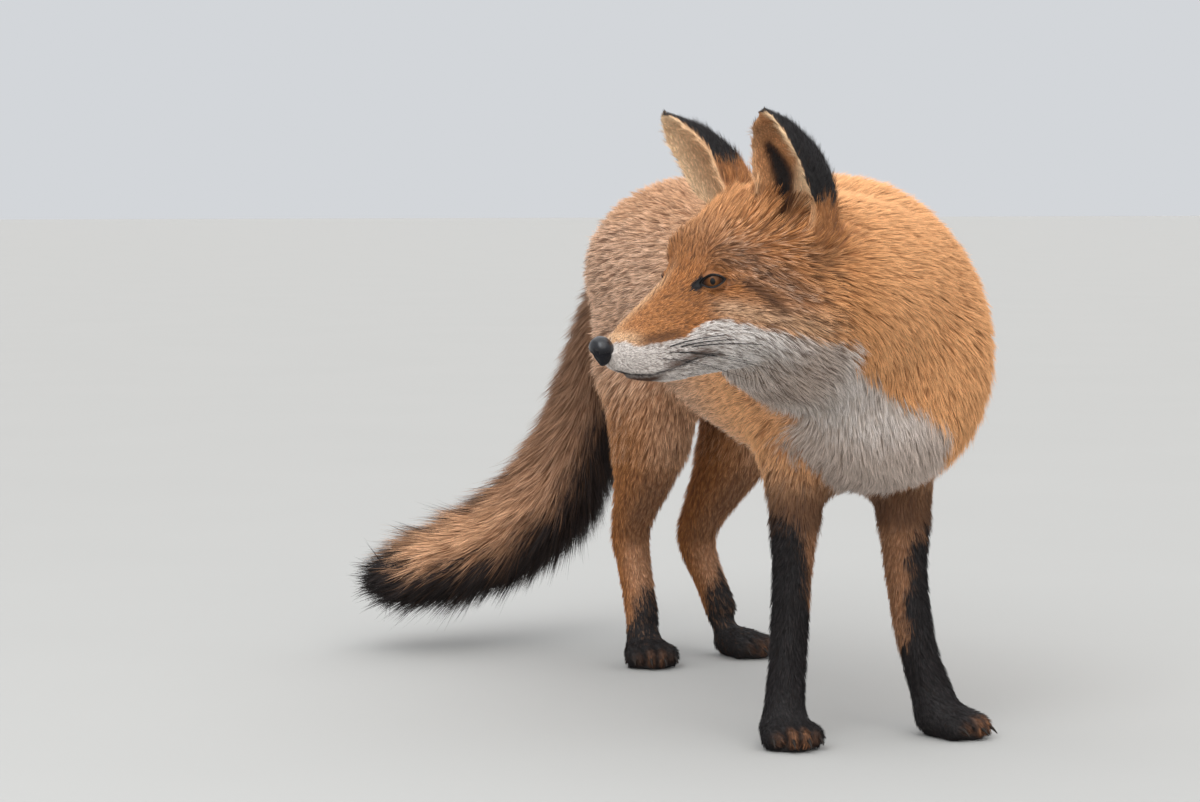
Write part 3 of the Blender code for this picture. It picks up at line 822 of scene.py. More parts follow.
def mark_bib(skin):
    """The white of the chest between its edges, and of the throat, with the paler belly."""
    x, y, z = skin.place
    _, n_y, n_z = skin.normals.T
    ragged = 0.004 * skin.ragged
    inside = ease(-BIB_FADE, BIB_FADE, x - np.interp(z, *BIB_RIGHT_EDGE) + ragged)
    inside *= ease(-BIB_FADE, BIB_FADE, np.interp(z, *BIB_LEFT_EDGE) - x + ragged)
    front = ease(0.35, -0.15, n_y) * ease(-0.06, -0.12, y)
    neck = skin.on("neck")
    shoulder = skin.on("trunk", "upper_arm")
    shoulder_side = shoulder * ease(-0.36, -0.14, n_y) * ease(-0.05, -0.08, x)
    chest = inside * front * np.maximum(neck, shoulder) * (1 - shoulder_side)
    lowest = 0.150 + 0.034 * skin.spread(skin.on("upper_arm", "forearm"), 6)
    chest *= ease(lowest, lowest + 0.032, z + 0.010 * skin.ragged)
    throat = neck * ease(0.30, 0.285, z) * ease(-0.05, -0.075, x) * ease(0.2, -0.2, n_z + 0.2)
    belly = skin.on("trunk") * ease(-0.70, -0.96, n_z) * 0.70
    skin.mark("white", chest, throat, belly)
    skin.mark("dusk", belly)


def mark_stockings(skin):
    """The legs' black, which climbs their outer sides, and the rust of the toes."""
    z = skin.place[2]
    speckle = 0.12 * skin.ragged + 0.26 * waves(skin.points * (1, 1, 0.3), 0.008, 8)
    for leg, ((across, ahead), heights, levels) in STOCKINGS.items():
        turned = skin.normals[:, 0] * across + skin.normals[:, 1] * ahead
        soft, most = (0.55, 1.0) if "front" in leg else (0.75, 0.82)
        level = np.interp(z, heights, levels)
        skin.mark("black", skin.on(leg) * ease(-soft, soft, turned - level + speckle) * most)
    skin.mark("black", skin.on("paw") * ease(0.034, 0.020, z) * 0.90)
    for paw in PAWS:
        most = 1.0 if "front" in paw else 0.5
        skin.mark("rust", skin.on(paw + "_paw") * ease(-0.018, -0.032, in_paw(skin.points, paw)[1]) * most)
    skin.masks["rust"] *= (1 - skin.grooves) * ease(0.002, 0.006, z)


def mark_ear(skin, side):
    """An ear's black back over an orange root, its hollow in dark hair and painted shadow, and its cream
    fringe and edges.
    """
    left, forward, up = skin.in_head
    brown_tip, brown_streaks, cream_fringe, cream_wall = EAR_MARKS[side]
    mine = skin.on("ear_left" if side > 0 else "ear_right")

    # which way the skin faces, against the way to the ear's middle line
    heights, outs, forwards = EAR_MIDDLE
    middle_out = np.interp(up, heights, outs)
    middle = np.stack([middle_out * side, np.interp(up, heights, forwards), up], axis=1)
    towards = unit(middle - np.stack([left, forward, up], axis=1))
    towards = np.array([head_direction(*row) for row in towards])
    turned = (skin.normals * towards).sum(axis=1)
    ahead = skin.normals @ head_direction(0, 1, 0)
    out = left * side - middle_out
    lateral = 0.25 * ease(-0.4, 0.4, out)
    inside = mine * np.maximum(ease(-0.30, 0.20, turned), ease(0.10 + lateral, 0.45 + lateral, ahead))
    back = mine - inside

    streaks = ease(-0.1, 0.6, waves(skin.points * (1, 1, 0.35), 0.007, 27))
    lowest = np.interp(out, (-1.5, 0.0, 1.2), (7.6, 6.4, 4.6))
    skin.mark("black", back * ease(-0.7, 0.7, up - lowest + 0.5 * skin.ragged))
    skin.mark("black", mine * ease(10.7, 11.1, up) * 0.8)
    skin.mark("umber", back * ease(1.6, 3.2, up) * (0.04 + 0.52 * streaks))

    # the hollow's umber and black: partly dark hair, partly painted shadow in the recess
    hollow = inside * ear_hollow(across_ear(left * side, forward), up) * ease(1.3, 0.3, out)
    skin.mark("umber", hollow * 1.6)
    skin.mark("black", ease(0.35, 0.9, hollow) * 0.80)
    skin.mark("umber", inside * bell(up, 9.6, 1.1) * brown_tip * ease(0.5, -0.3, out))
    skin.mark("umber", inside * bell(up, 8.2, 1.6) * brown_streaks * streaks)

    fringe = inside * np.maximum(ease(-0.5, 0.5, out), ease(-5.6, -6.2, forward)) * ease(4.2, 5.6, up)
    near_edge = np.interp(up, (5.1, 11.3), (-0.1, -2.5))
    golden_side = ease(0.6, 2.8, across_ear(left, forward) - near_edge)
    wall = inside * (0.98 - 0.52 * golden_side) * cream_wall
    rims = mine * bell(turned, -0.05, 0.55) * ease(10.6, 9.5, up)
    skin.mark("cream", np.maximum(fringe * cream_fringe, wall) * (1 - hollow), rims * inside * 0.45)
    skin.rims = np.maximum(skin.rims, rims)
    skin.ear_backs = np.maximum(skin.ear_backs, back)
    skin.golden = np.maximum.reduce([skin.golden, inside * (1 - hollow) * 0.95, back * 0.25])


def mark_ears(skin):
    """Both ears, and the feet of their hollows on the head in dark hair and painted shadow, with cream before
    them that is partly painted light.
    """
    skin.rims, skin.ear_backs, skin.golden = (np.zeros(len(skin.points)) for _ in range(3))
    for side in (1, -1):
        mark_ear(skin, side)
    apron = skin.apron * (1 - skin.pit)
    # the pit's umber and black: partly dark hair, partly painted shadow where the skin is pushed in
    skin.mark("umber", skin.pit * 1.2)
    skin.mark("black", skin.pit * 0.45)
    # the apron's cream: partly pale hair, partly painted light in the shaded pocket before the ear
    skin.mark("cream", apron * 0.9)
    skin.golden = np.maximum(skin.golden, apron)


def mark_tail(skin):
    """The tail: black underneath and round its end, orange on its outer side, brown from its root."""
    along, direction, _ = tail_field(skin.points)
    tail = skin.on("tail")
    below = unit(np.cross(np.array(TAIL_FRONT), direction))
    under = (skin.normals * below).sum(axis=1) + 0.14 * skin.ragged
    edge = np.interp(along, (0.08, 0.35, 0.65, 1.0), (0.56, 0.38, 0.24, -0.12))
    fringe = ease(-0.55, 0.40, under - edge) * ease(0.04, 0.20, along)
    upper = ease(-0.78, -1.08, under) * ease(0.42, 0.60, along)
    upper = np.maximum(upper, ease(-0.80, -1.08, under) * ease(0.66, 0.82, along))
    end = ease(0.85, 0.905, along + 0.015 * skin.ragged)
    skin.mark("black", tail * np.maximum.reduce([fringe * 0.88, upper * 0.85, end * 0.95]))
    smoked = ease(-0.55, 0.40, under) * ease(0.15, 0.35, along)
    skin.mark("umber", tail * ease(0.80, 0.35, along) * 0.52, tail * smoked * 0.52)
    skin.mark("dusk", tail * np.interp(along, (0.3, 0.7), (0.70, 0.50)))
    skin.mark("pale", tail * ease(0.55, 0.75, along) * ease(0.2, -0.4, under) * 0.8)
    skin.mark("tail", tail * np.interp(along, (0, 0.45, 0.80), (1.0, 0.75, 0.25)))


def mark_hindquarters(skin):
    """The grey-brown flanks, rump and thighs, the hip's silver, partly grizzled hair and partly a painted
    sheen on the rump's edge, painted shade where the back faces up, and painted shade low on the thighs and
    shanks.
    """
    on = skin.on
    _, y, z = skin.place
    n_x, n_y, n_z = skin.normals.T
    rear_outer = REAR_OUTER[0] * n_x + REAR_OUTER[1] * n_y
    dusk = ease(-0.13, 0.06, y + 0.01 * skin.ragged) * on("trunk", "thigh", "shank", "metatarsus", "hind")
    dusk *= 1 - on("metatarsus", "shank") * ease(0.13, 0.10, z) * ease(-0.2, 0.3, n_y - 0.6 * n_x)
    dusk *= 1 - 0.55 * ease(0.3, 0.9, n_z) * on("trunk")
    dusk *= 1 - 0.42 * on("thigh") - 0.65 * on("shank") - 0.50 * on("metatarsus")
    rear_edge = on("hind") * ease(0.25, 0.75, rear_outer) * ease(0.25, 0.19, z)
    skin.mark("dusk", dusk * (1 - 0.85 * rear_edge))
    # the hip's silver: partly grizzled hair, partly a painted sheen where the rump faces out and back
    skin.mark("silver", on("trunk", "thigh") * ease(0.35, 0.95, rear_outer) * ease(-0.05, 0.05, y) * 0.65)
    # painted shade: umber where the back faces up
    skin.mark("umber", on("trunk") * ease(0.35, 0.9, n_z) * ease(-0.13, 0.0, y) * 0.28)
    # painted shade low on the thighs and shanks
    shaded = on("thigh", "shank") * (ease(0.23, 0.13, z) * 0.22 + bell(z, 0.145, 0.035) * 0.22)
    skin.mark("umber", shaded * (1 - 0.8 * rear_edge))


def mark_forelegs(skin):
    """The tan and grey of the forelegs above their black, outside the bib."""
    on = skin.on
    z = skin.place[2]
    low = ease(0.215, 0.18, z)
    skin.mark("dusk", on("forearm") * 0.38, on("upper_arm") * low * 0.40)
    skin.mark("silver", on("upper_arm", "forearm") * low * 0.40)
    brown = 0.42 * on("forearm") + 0.74 * on("upper_arm")
    leg = on("upper_arm", "forearm") * ease(0.215, 0.165, z)
    skin.mark("umber", leg * brown * (1 - skin.masks["white"]))


def mark_paler(skin):
    """The coat turns paler from the head to the shoulders, and its white turns to the bib's darker white,
    painted shade.
    """
    _, forward, up = skin.in_head
    # on the neck the white takes less of the bib's painted shade: painted light where the head shades the
    # throat
    neck = skin.on("neck") * (1.0 - 0.60 * skin.masks["white"]) * (1 - 0.45 * ease(-11.0, -7.5, forward))
    shoulders = skin.on("trunk", "upper_arm") * ease(0.15, 0.19, skin.place[2])
    crown = skin.head * np.maximum(0.58 * ease(2.0, 3.4, up), 0.72 * ease(-3.0, -6.0, forward))
    jowl = skin.head * ease(-1.0, -4.5, forward) * ease(-1.5, -3.5, up)
    muzzle = 0.18 * skin.head * ease(2.0, 5.0, forward)
    skin.mark("pale", neck, shoulders, crown, jowl, muzzle)


def mark_cheek_streak(skin):
    """A dark streak from the eye to a fleck on the cheek, grizzled hair over it, and a golden blush below."""
    left, forward, up = skin.in_head
    head, side = skin.head, np.abs(left)
    ahead, above = forward - STREAK_START[0], up - STREAK_START[1]
    back, down = STREAK_RUN
    along = back * ahead + down * above
    over = down * ahead - back * above
    streak = head * bell(over, 0.0, 0.42) * ease(-0.3, 0.3, along) * ease(3.6, 2.4, along)
    fleck = head * bell(forward, -2.1, 0.50) * bell(up, -2.05, 0.42) * ease(3, 4, side)
    grizzle = head * bell(over, 1.30, 1.05) * ease(-2.8, -1.0, along) * ease(5.0, 3.2, along)
    blush = head * bell(up - skin.line, 0.75, 0.60) * ease(2.0, 0.6, forward) * ease(-6.4, -4.6, forward)
    skin.mark("dusk", grizzle * 0.45, blush * 0.75)
    skin.crown = head * ease(2.6, 4.0, up)
    crown = head * ease(0.5, 1.6, up) * ease(1.5, 0.0, forward)
    grizzle = np.maximum.reduce([grizzle, crown * (0.45 - 0.30 * skin.crown), blush * 0.5])
    skin.mark("silver", grizzle, head * 0.14 * ease(-5.5, -3.0, forward))
    skin.mark("flecks", grizzle * 0.95, head * (0.72 - 0.30 * skin.crown))
    skin.mark("umber", grizzle * 0.44, streak * 0.85, fleck * 0.85)
    skin.mark("cream", blush * 0.32)


def mark_muzzle(skin):
    """The whisker pad's dark band and flecks, the lips and chin, and a cream painted highlight along the top
    of the nose's bridge.
    """
    left, forward, up = skin.in_head
    head = skin.head
    over_line = up - skin.line
    over_mouth = up - mouth_level(forward * CM) / CM
    band = head * bell(over_line, 0.35, 0.36) * ease(2.8, 3.8, forward) * ease(7.0, 5.6, forward)
    lips = head * bell(over_mouth, 0.35, 0.35) * ease(1.0, 2.2, forward) * ease(5.6, 4.0, forward)
    pad = head * ease(2.4, 3.0, forward) * ease(5.9, 5.2, forward) * ease(0.0, -0.25, over_line)
    near_nose = head * bell(over_line, 0.35, 0.5) * ease(5.4, 6.6, forward)
    # a painted highlight: cream where the bridge faces up, along its far edge
    bridge_highlight = head * ease(1.2, 2.4, forward) * ease(0.45, 0.9, skin.normals[:, 2]) * ease(0.7, -0.4, left)
    skin.mark("umber", band * 0.66, lips * 0.76, skin.chin)
    skin.mark("flecks", pad * ease(0.35, 0.7, over_mouth), band)
    skin.mark("cream", near_nose * 0.55, bridge_highlight * 0.62)
    skin.mark("black", skin.lip * 0.85, skin.chin * 0.22)


def mark_brow(skin):
    """The browner hair before the eye, on the brow and at the foot of the ear, painted shadow over the eye
    and painted shade under it, and the eye's dark edge.
    """
    left, forward, up = skin.in_head
    head, side = skin.head, np.abs(left)
    tear = head * bell(forward, 1.9, 0.75) * bell(up, -0.35, 0.42) * ease(1.2, 2.0, side)
    # painted shadow under the brow, over the eye
    painted_brow_shadow = head * bell(forward, 1.0, 0.8) * bell(up, 0.95, 0.45) * ease(1.2, 2.0, side)
    ear_foot = head * bell(forward, -5.2, 1.6) * bell(up, 1.4, 1.3) * ease(4.6, 5.6, side)
    brow = head * ease(0.2, 1.2, up) * ease(4.2, 3.0, forward) * ease(-1.5, 0.3, forward)
    # painted shade on the cheek under the eye
    painted_cheek_shade = head * bell(up, -1.2, 1.2) * ease(-3.5, -2.0, forward) * ease(4.5, 3.0, forward)
    skin.mark("umber", tear * 0.50, painted_brow_shadow * 0.35, ear_foot * 0.6, brow * 0.32, painted_cheek_shade * 0.27)
    skin.mark("black", skin.rim, skin.duct)


def markings(skin):
    """Fills the skin's masks: how white, black, grey-brown, umber and so on the coat is at each point."""
    skin.masks = {mask: np.zeros(len(skin.points)) for mask in MASKS}
    skin.place = (skin.points - np.array(ORIGIN)).T
    skin.in_head = (in_head(skin.points) / CM).T
    skin.ragged = waves(skin.points, 0.012, 3)
    skin.head = skin.spread(skin.on("head", "jaw", "eye", "nose"), 5)
    mark_cheeks(skin)
    mark_bib(skin)
    mark_stockings(skin)
    mark_ears(skin)
    mark_tail(skin)
    mark_hindquarters(skin)
    mark_forelegs(skin)
    mark_paler(skin)
    mark_cheek_streak(skin)
    mark_muzzle(skin)
    mark_brow(skin)
    skin.mark("silver", skin.masks["dusk"] * 0.45)
    for mask, rounds in EVENED.items():
        skin.masks[mask] = skin.spread(skin.masks[mask], rounds)
    skin.mark("pale", skin.golden)
    skin.mark("black", skin.rim)


# ---- the whole skin


def bare(skin):
    """How much coat grows: none on the nose pad, in the eyes' openings, on the lid rims or under the feet."""
    covered = (1 - ease(0.35, 0.7, skin.rim)) * (1 - ease(0.5, 0.9, skin.sole)) * (1 - skin.on("nose", "eye"))
    half_width, half_height = EYE_OPENING[0] + 1.2 * MM, EYE_OPENING[2] + 1.2 * MM
    for side in (-1, 1):
        centre, inner, above, gaze = np.array(eye_frame(side))
        away = skin.points - centre
        inside = np.hypot(away @ inner / half_width, away @ above / half_height) < 1
        covered[inside & (away @ gaze > 0) & (np.linalg.norm(away, axis=1) < 0.02)] = 0
    return covered


def shag(skin):
    """How far the coat stands out of its lie, as a share of its length."""
    stand = np.full(len(skin.points), 0.04)
    for word, value in STANDING.items():
        stand[skin.on(word) > 0] = value
    along = tail_field(skin.points)[0]
    tail = skin.on("tail") * np.interp(along, (0.45, 0.75, 1.0), (0.14, 0.38, 0.45))
    parts = [1.9 * skin.rims, 0.7 * skin.ear_backs, 0.22 * skin.crown, 0.25 * skin.fold, 0.4 * skin.apron]
    return skin.spread(np.maximum.reduce([stand, tail, *parts]), 3)


def lengthened(skin):
    """The coat's length, with what the ears' edges, the crown and the eyes' corners add or take away."""
    longer = 0.9 * skin.rims + 0.5 * skin.ear_backs + 0.5 * skin.fold + 0.22 * skin.crown
    tips = skin.on("ear_left", "ear_right") * ease(9.8, 10.8, skin.in_head[2])
    return skin.length * (1 + longer - 0.6 * skin.duct) * (1 - 0.55 * tips)


def make_skin():
    """The skin under the coat, with the coat's sizes, lie, masks and cover at each of its points."""
    skin = Skin()
    mesh = skin.mesh = base_skin()
    skin.edges = read(mesh.edges, "vertices", 2, np.int32)
    points = read(mesh.vertices, "co", 3).astype(float)
    share = np.where(on_face(points) & (in_head(points)[:, 2] < 0.045), 0.3, 0.5)
    share *= ease(0.018, 0.026, points[:, 2]) * 0.85 + 0.15
    skin.points = skin.spread(points, 14, share)
    write_points(mesh, skin.points)
    skin.normals = normals_of(mesh)
    skin.owner = nearest_nodes(skin.points)
    skin.depth, skin.length, skin.width = coat_sizes(skin).T
    skin.points = sink(skin)
    share = 0.5 * (1 - on_face(points)) * ease(0.018, 0.028, points[:, 2])
    skin.points = skin.spread(skin.points, 12, share)
    skin.points[:, 2] = np.maximum(skin.points[:, 2], 0)
    ear_feet(skin)
    ankles(skin)
    lids(skin)
    mouth(skin)
    toes(skin)
    write_points(mesh, skin.points)
    skin.normals = normals_of(mesh)
    skin.lie = hair_lie(skin)
    markings(skin)
    skin.covered = bare(skin) * (1 + 9 * skin.rims)
    skin.shag = shag(skin)
    skin.length = lengthened(skin)
    return skin


def unwrap(obj):
    """An unwrap of the skin's own shape, as the map OFBake."""
    obj.data.uv_layers.new(name="OFBake")
    bpy.context.view_layer.objects.active = obj
    obj.select_set(True)
    bpy.ops.object.mode_set(mode="EDIT")
    bpy.ops.mesh.select_all(action="SELECT")
    bpy.ops.uv.smart_project(angle_limit=math.radians(72), island_margin=0.002)
    bpy.ops.object.mode_set(mode="OBJECT")
    obj.select_set(False)


def ready_to_grow(skin):
    """The skin's masks on its mesh, and its triangles with their places on the map, for the tufts."""
    mesh = skin.mesh
    mesh.calc_loop_triangles()
    skin.triangles = read(mesh.loop_triangles, "vertices", 3, np.int32)
    loops = read(mesh.loop_triangles, "loops", 3, np.int32)
    skin.corner_uvs = read(mesh.uv_layers["OFBake"].data, "uv", 2)[loops]
    skin.tree = BVHTree.FromPolygons(skin.points.tolist(), skin.triangles.tolist())
    for mask in MASKS:
        write_attribute(mesh, mask, skin.masks[mask])
    smooth(mesh)


# ---- the coat


def in_piece(skin, name):
    """Which of the skin's points a piece of the coat grows from."""

    def part(*words):
        return skin.on(*words) > 0

    far = from_nose_tip(skin.points) > CROWN_FROM_NOSE
    rear = part("trunk") & (skin.points[:, 1] - ORIGIN.y > FLANK_START)
    fore = part("trunk", "upper_arm") & ~rear
    ahead = skin.normals[:, 1] < -0.35
    head = part("head", "jaw", "eye")
    chosen = {
        "coat_muzzle": head & ~far,
        "coat_crown": head & far,
        "coat_ears": part("ear_", "forearm"),  # and a second growth over the forearms
        "coat_neck": part("neck"),
        "coat_chest": fore & ahead,
        "coat_shoulders": fore & ~ahead,
        "coat_flanks": rear,
        "coat_thighs": part("thigh"),
        "coat_forelegs": part("forearm", "front_left_paw", "front_right_paw"),
        "coat_hindlegs": part("shank", "metatarsus", "hind_left_paw", "hind_right_paw"),
        "coat_tail": part("tail"),
    }
    return chosen[name]


class Roots:
    """Where the tufts of a piece grow, and the skin's values there."""

    def __init__(self, skin, chosen, count, draw):
        corners = skin.triangles
        spans = skin.points[corners[:, 1:]] - skin.points[corners[:, :1]]
        area = np.linalg.norm(np.cross(spans[:, 0], spans[:, 1]), axis=1) / 2
        crowding = skin.covered / (skin.length * skin.width)
        weight = area * crowding[corners].mean(axis=1) * chosen[corners[:, 0]]
        total = np.cumsum(weight)
        marks = (np.arange(count) + draw.random(count)) * total[-1] / count
        self.triangle = np.minimum(np.searchsorted(total, marks), len(corners) - 1)
        shares = draw.random((count, 2))
        over = shares.sum(axis=1) > 1
        shares[over] = 1 - shares[over]
        self.shares = np.column_stack([1 - shares.sum(axis=1), shares])
        self.corners = corners[self.triangle]

    def of(self, values):
        if values.ndim == 1:
            return (values[self.corners] * self.shares).sum(axis=1)
        return np.einsum("tcv,tc->tv", values[self.corners], self.shares)


def locks(base, size, draw):
    """For each tuft, the tuft in the middle of its lock."""
    middles = draw.permutation(len(base))[: max(1, len(base) // size)]
    tree = KDTree(len(middles))
    for middle in middles.tolist():
        tree.insert(base[middle], middle)
    tree.balance()
    return np.array([tree.find(point)[1] for point in base.tolist()])


def tuft_mesh(name, start, across, above, tip):
    """Spikes of four triangles, each from a ring round its start to its tip, and none through the floor."""
    ring = [start + across * sideways + above * upwards for sideways, upwards in TUFT_RING]
    points = np.stack([*ring, tip], axis=1)
    points[..., 2] = np.maximum(points[..., 2], ROOT_SUNK)
    triangles = (np.array(TUFT_FACES)[None] + 4 * np.arange(len(start))[:, None, None]).reshape(-1, 3)
    mesh = mesh_of(name, points.reshape(-1, 3), triangles)
    smooth(mesh)
    return mesh


def place_on_skin_map(mesh, skin, roots):
    """Each tuft gets a small patch of the map OFBake, round its root's place on the skin's own map."""
    place = np.einsum("tcv,tc->tv", skin.corner_uvs[roots.triangle], roots.shares)
    patch = np.array(((1, 0), (0.5, 0), (0, 0), (0.5, 1))) - 0.5
    spots = np.clip(place[:, None] + patch * BAKE_PATCH, 0, 1).reshape(-1, 2)
    corners = read(mesh.loops, "vertex_index", 1, np.int32).ravel()
    uv = mesh.uv_layers.new(name="OFBake")
    uv.data.foreach_set("uv", spots[corners].astype(np.float32).ravel())


def grow(skin, name):
    """One piece of the coat: thin closed tufts, of three sides each, that lie along the body in locks."""
    count, lock_size = PIECES[name]
    count //= 1
    draw = np.random.default_rng([SEED, sorted(PIECES).index(name)])
    roots = Roots(skin, in_piece(skin, name), count, draw)
    base = roots.of(skin.points)
    normal = unit(roots.of(skin.normals))
    length = roots.of(skin.length) * draw.uniform(0.65, 1.30, count)
    width = (roots.of(skin.width) * draw.uniform(0.70, 1.30, count))[:, None]

    # the way each tuft lies, with a slow and a quick swirl
    lie = roots.of(skin.lie)
    swirl = 0.14 * waves(base, 0.03, 11) + 0.15 * waves(base, 0.009, 12) + 0.15 * draw.normal(size=count)
    lie += np.cross(normal, lie) * swirl[:, None]
    lie = unit(flattened(lie, normal))
    across = np.cross(normal, lie)

    # each lock's tufts stand out together, and lean to its middle
    lock = locks(base, lock_size, draw)
    aside = flattened(base - base[lock], normal)
    gap = np.linalg.norm(aside, axis=1)
    edge = np.clip(gap / (1.8 * np.median(gap) + 1e-9), 0, 1)
    rise = roots.of(skin.depth) * draw.uniform(0.55, 1.35, count)[lock] * (1.10 - 0.45 * edge)
    rise *= draw.uniform(0.85, 1.15, count)
    rise += length * roots.of(skin.shag) * draw.random(count) ** 2
    length = length * draw.uniform(0.80, 1.20, count)[lock]
    tip = base + lie * length[:, None] + normal * rise[:, None]
    tip += LOCK_PULL * (tip[lock] - tip)
    mesh = tuft_mesh(name, base - normal * ROOT_SUNK, across * width, normal * width, tip)

    for mask in MASKS:
        write_attribute(mesh, mask, np.repeat(roots.of(skin.masks[mask]), 4))
    write_attribute(mesh, "along", np.tile((0.0, 0.0, 0.0, 1.0), count))
    own = draw.random(count)
    # tufts at a lock's edge are darker: painted shade between the locks
    tint = np.where(draw.random(count) < 0.65, own[lock], own) * (1 - 0.30 * edge) + 0.06
    write_attribute(mesh, "tint", np.repeat(tint, 4))
    place_on_skin_map(mesh, skin, roots)

    # a tuft is shaded as a round hair that leans out from the lock
    leaning = unit(normal + 0.25 * lie + 0.65 * unit(aside) * edge[:, None])
    shading = [unit(leaning + 0.8 * across), leaning, unit(leaning - 0.8 * across), leaning]
    shading = np.stack(shading, axis=1).reshape(-1, 3)
    mesh.normals_split_custom_set_from_vertices(shading.astype(np.float32))
    return object_of(name, mesh)


# ---- finishes


class Wire:
    """A socket's value, so that shader maths reads as an expression."""

    def __init__(self, finish, socket):
        self.finish = finish
        self.socket = socket

    def maths(self, operation, *values):
        inputs = dict(enumerate((self, *values)))
        return self.finish.node("ShaderNodeMath", {"operation": operation}, inputs)

    def __add__(self, other):
        return self.maths("ADD", other)

    def __sub__(self, other):
        return self.maths("SUBTRACT", other)

    def __rsub__(self, other):
        return self.maths("MULTIPLY", -1.0) + other

    def __mul__(self, other):
        return self.maths("MULTIPLY", other)

    def __truediv__(self, other):
        return self.maths("DIVIDE", other)

    __radd__ = __add__
    __rmul__ = __mul__

    def ease(self, low, high):
        settings = {"interpolation_type": "SMOOTHSTEP"}
        inputs = {"Value": self, "From Min": low, "From Max": high}
        return self.finish.node("ShaderNodeMapRange", settings, inputs)


class Finish:
    """One material and its nodes."""

    def __init__(self, name):
        self.material = bpy.data.materials.new(name)
        self.material.use_nodes = True
        self.tree = self.material.node_tree
        self.tree.nodes.clear()

    def node(self, kind, settings=None, inputs=None, output=0):
        made = self.tree.nodes.new(kind)
        for key, value in (settings or {}).items():
            setattr(made, key, value)
        for key, value in (inputs or {}).items():
            if isinstance(value, Wire):
                self.tree.links.new(value.socket, made.inputs[key])
            else:
                made.inputs[key].default_value = value
        return Wire(self, made.outputs[output]) if len(made.outputs) else None

    def attribute(self, name):
        return self.node("ShaderNodeAttribute", {"attribute_name": name}, output="Fac")

    def place(self):
        return self.node("ShaderNodeTexCoord", output="Object")

    def noise(self, scale, detail=3.0, vector=None):
        inputs = {"Vector": vector or self.place(), "Scale": scale, "Detail": detail}
        return self.node("ShaderNodeTexNoise", None, inputs)

    def mix(self, factor, first, second):
        """Two colours mixed."""
        inputs = {0: factor, 6: first, 7: second}
        return self.node("ShaderNodeMix", {"data_type": "RGBA"}, inputs, 2)

    def shade(self, colour, factor):
        """A colour made darker or lighter by a factor."""
        grey = self.node("ShaderNodeCombineColor", None, {0: factor, 1: factor, 2: factor})
        inputs = {0: 1.0, 6: colour, 7: grey}
        return self.node("ShaderNodeMix", {"data_type": "RGBA", "blend_type": "MULTIPLY"}, inputs, 2)

    def bump(self, height, strength, distance):
        inputs = {"Strength": strength, "Distance": distance, "Height": height}
        return self.node("ShaderNodeBump", None, inputs)

    def surface(self, **inputs):
        named = {key.replace("_", " "): value for key, value in inputs.items()}
        shader = self.node("ShaderNodeBsdfPrincipled", None, named)
        self.node("ShaderNodeOutputMaterial", None, {"Surface": shader})
        return self.material


def colour(name):
    return (*COLOURS[name], 1.0)


def fur_colour(finish, along, tint):
    """The coat's colour from its markings, from root to tip and from tuft to tuft."""
    marks = {mask: finish.attribute(mask) for mask in MASKS}
    dark_tuft = tint.ease(0.36, 0.22)
    pale_tuft = tint.ease(0.64, 0.78)
    tip = along.ease(0.35, 0.85)

    def hair(name):
        return finish.mix(tip, colour(name + "_root"), colour(name))

    shade = finish.mix(marks["pale"], hair("orange"), hair("apricot"))
    shade = finish.mix(marks["dusk"], shade, hair("dusk"))
    shade = finish.mix(marks["cream"] * (0.55 + 0.7 * tint).ease(0.0, 1.0), shade, colour("cream"))
    grizzled = marks["silver"] * tip
    shade = finish.mix(grizzled * pale_tuft * 0.65, shade, colour("silver"))
    shade = finish.mix(grizzled * dark_tuft, shade, colour("umber"))
    whiteness = (marks["white"] + (tint - 0.5) * 0.40).ease(0.30, 0.70)
    white = finish.mix(tint.ease(0.45, 0.05) * 0.6, hair("white"), colour("bib_root"))
    # the mask that pales the orange turns the white to the bib's darker white: painted shade
    shade = finish.mix(whiteness, shade, finish.mix(marks["pale"], white, hair("bib")))
    umber = (marks["umber"] + (tint - 0.5) * 0.5 * marks["umber"]).ease(0.0, 1.0)
    shade = finish.mix(umber, shade, colour("umber"))
    shade = finish.mix(marks["flecks"] * tint.ease(0.40, 0.28) * 0.85, shade, colour("umber"))
    tipped = marks["tail"] * tip * tint.ease(0.75, 0.35) * 0.50
    shade = finish.mix(tipped, shade, colour("umber"))
    blackness = (marks["black"] + (tint - 0.5) * 0.7).ease(0.25, 0.75)
    black = finish.mix(tint * tip, colour("black"), colour("black_light"))
    black = finish.mix(marks["tail"] * 0.30 * tint, black, colour("umber"))
    shade = finish.mix(blackness, shade, black)
    shade = finish.mix(marks["rust"] * (0.3 + 0.7 * tint), shade, colour("toe"))
    return finish.shade(shade, 0.72 + 0.62 * tint)


def coat_finish(name):
    finish = Finish(name)
    along = finish.attribute("along")
    tint = finish.attribute("tint")
    shade = fur_colour(finish, along, tint)
    return finish.surface(Base_Color=shade, Roughness=0.62, Specular_IOR_Level=0.25)


def skin_finish():
    """The skin under the coat, in the coat's own markings darkened as painted shade between the tufts, with a
    fine grain where the coat is short.
    """
    finish = Finish("fox_skin")
    grain = finish.noise(900.0, 2.0)
    patches = finish.noise(160.0, 3.0)
    along = 0.25 + 0.5 * patches
    # darker by 0.70: painted shade in the gaps between the tufts
    shade = finish.shade(fur_colour(finish, along, grain), 0.70)
    bump = finish.bump(grain, 0.5, 0.0006)
    return finish.surface(Base_Color=shade, Roughness=0.75, Normal=bump)


# ---- eyes, nose, whiskers and claws


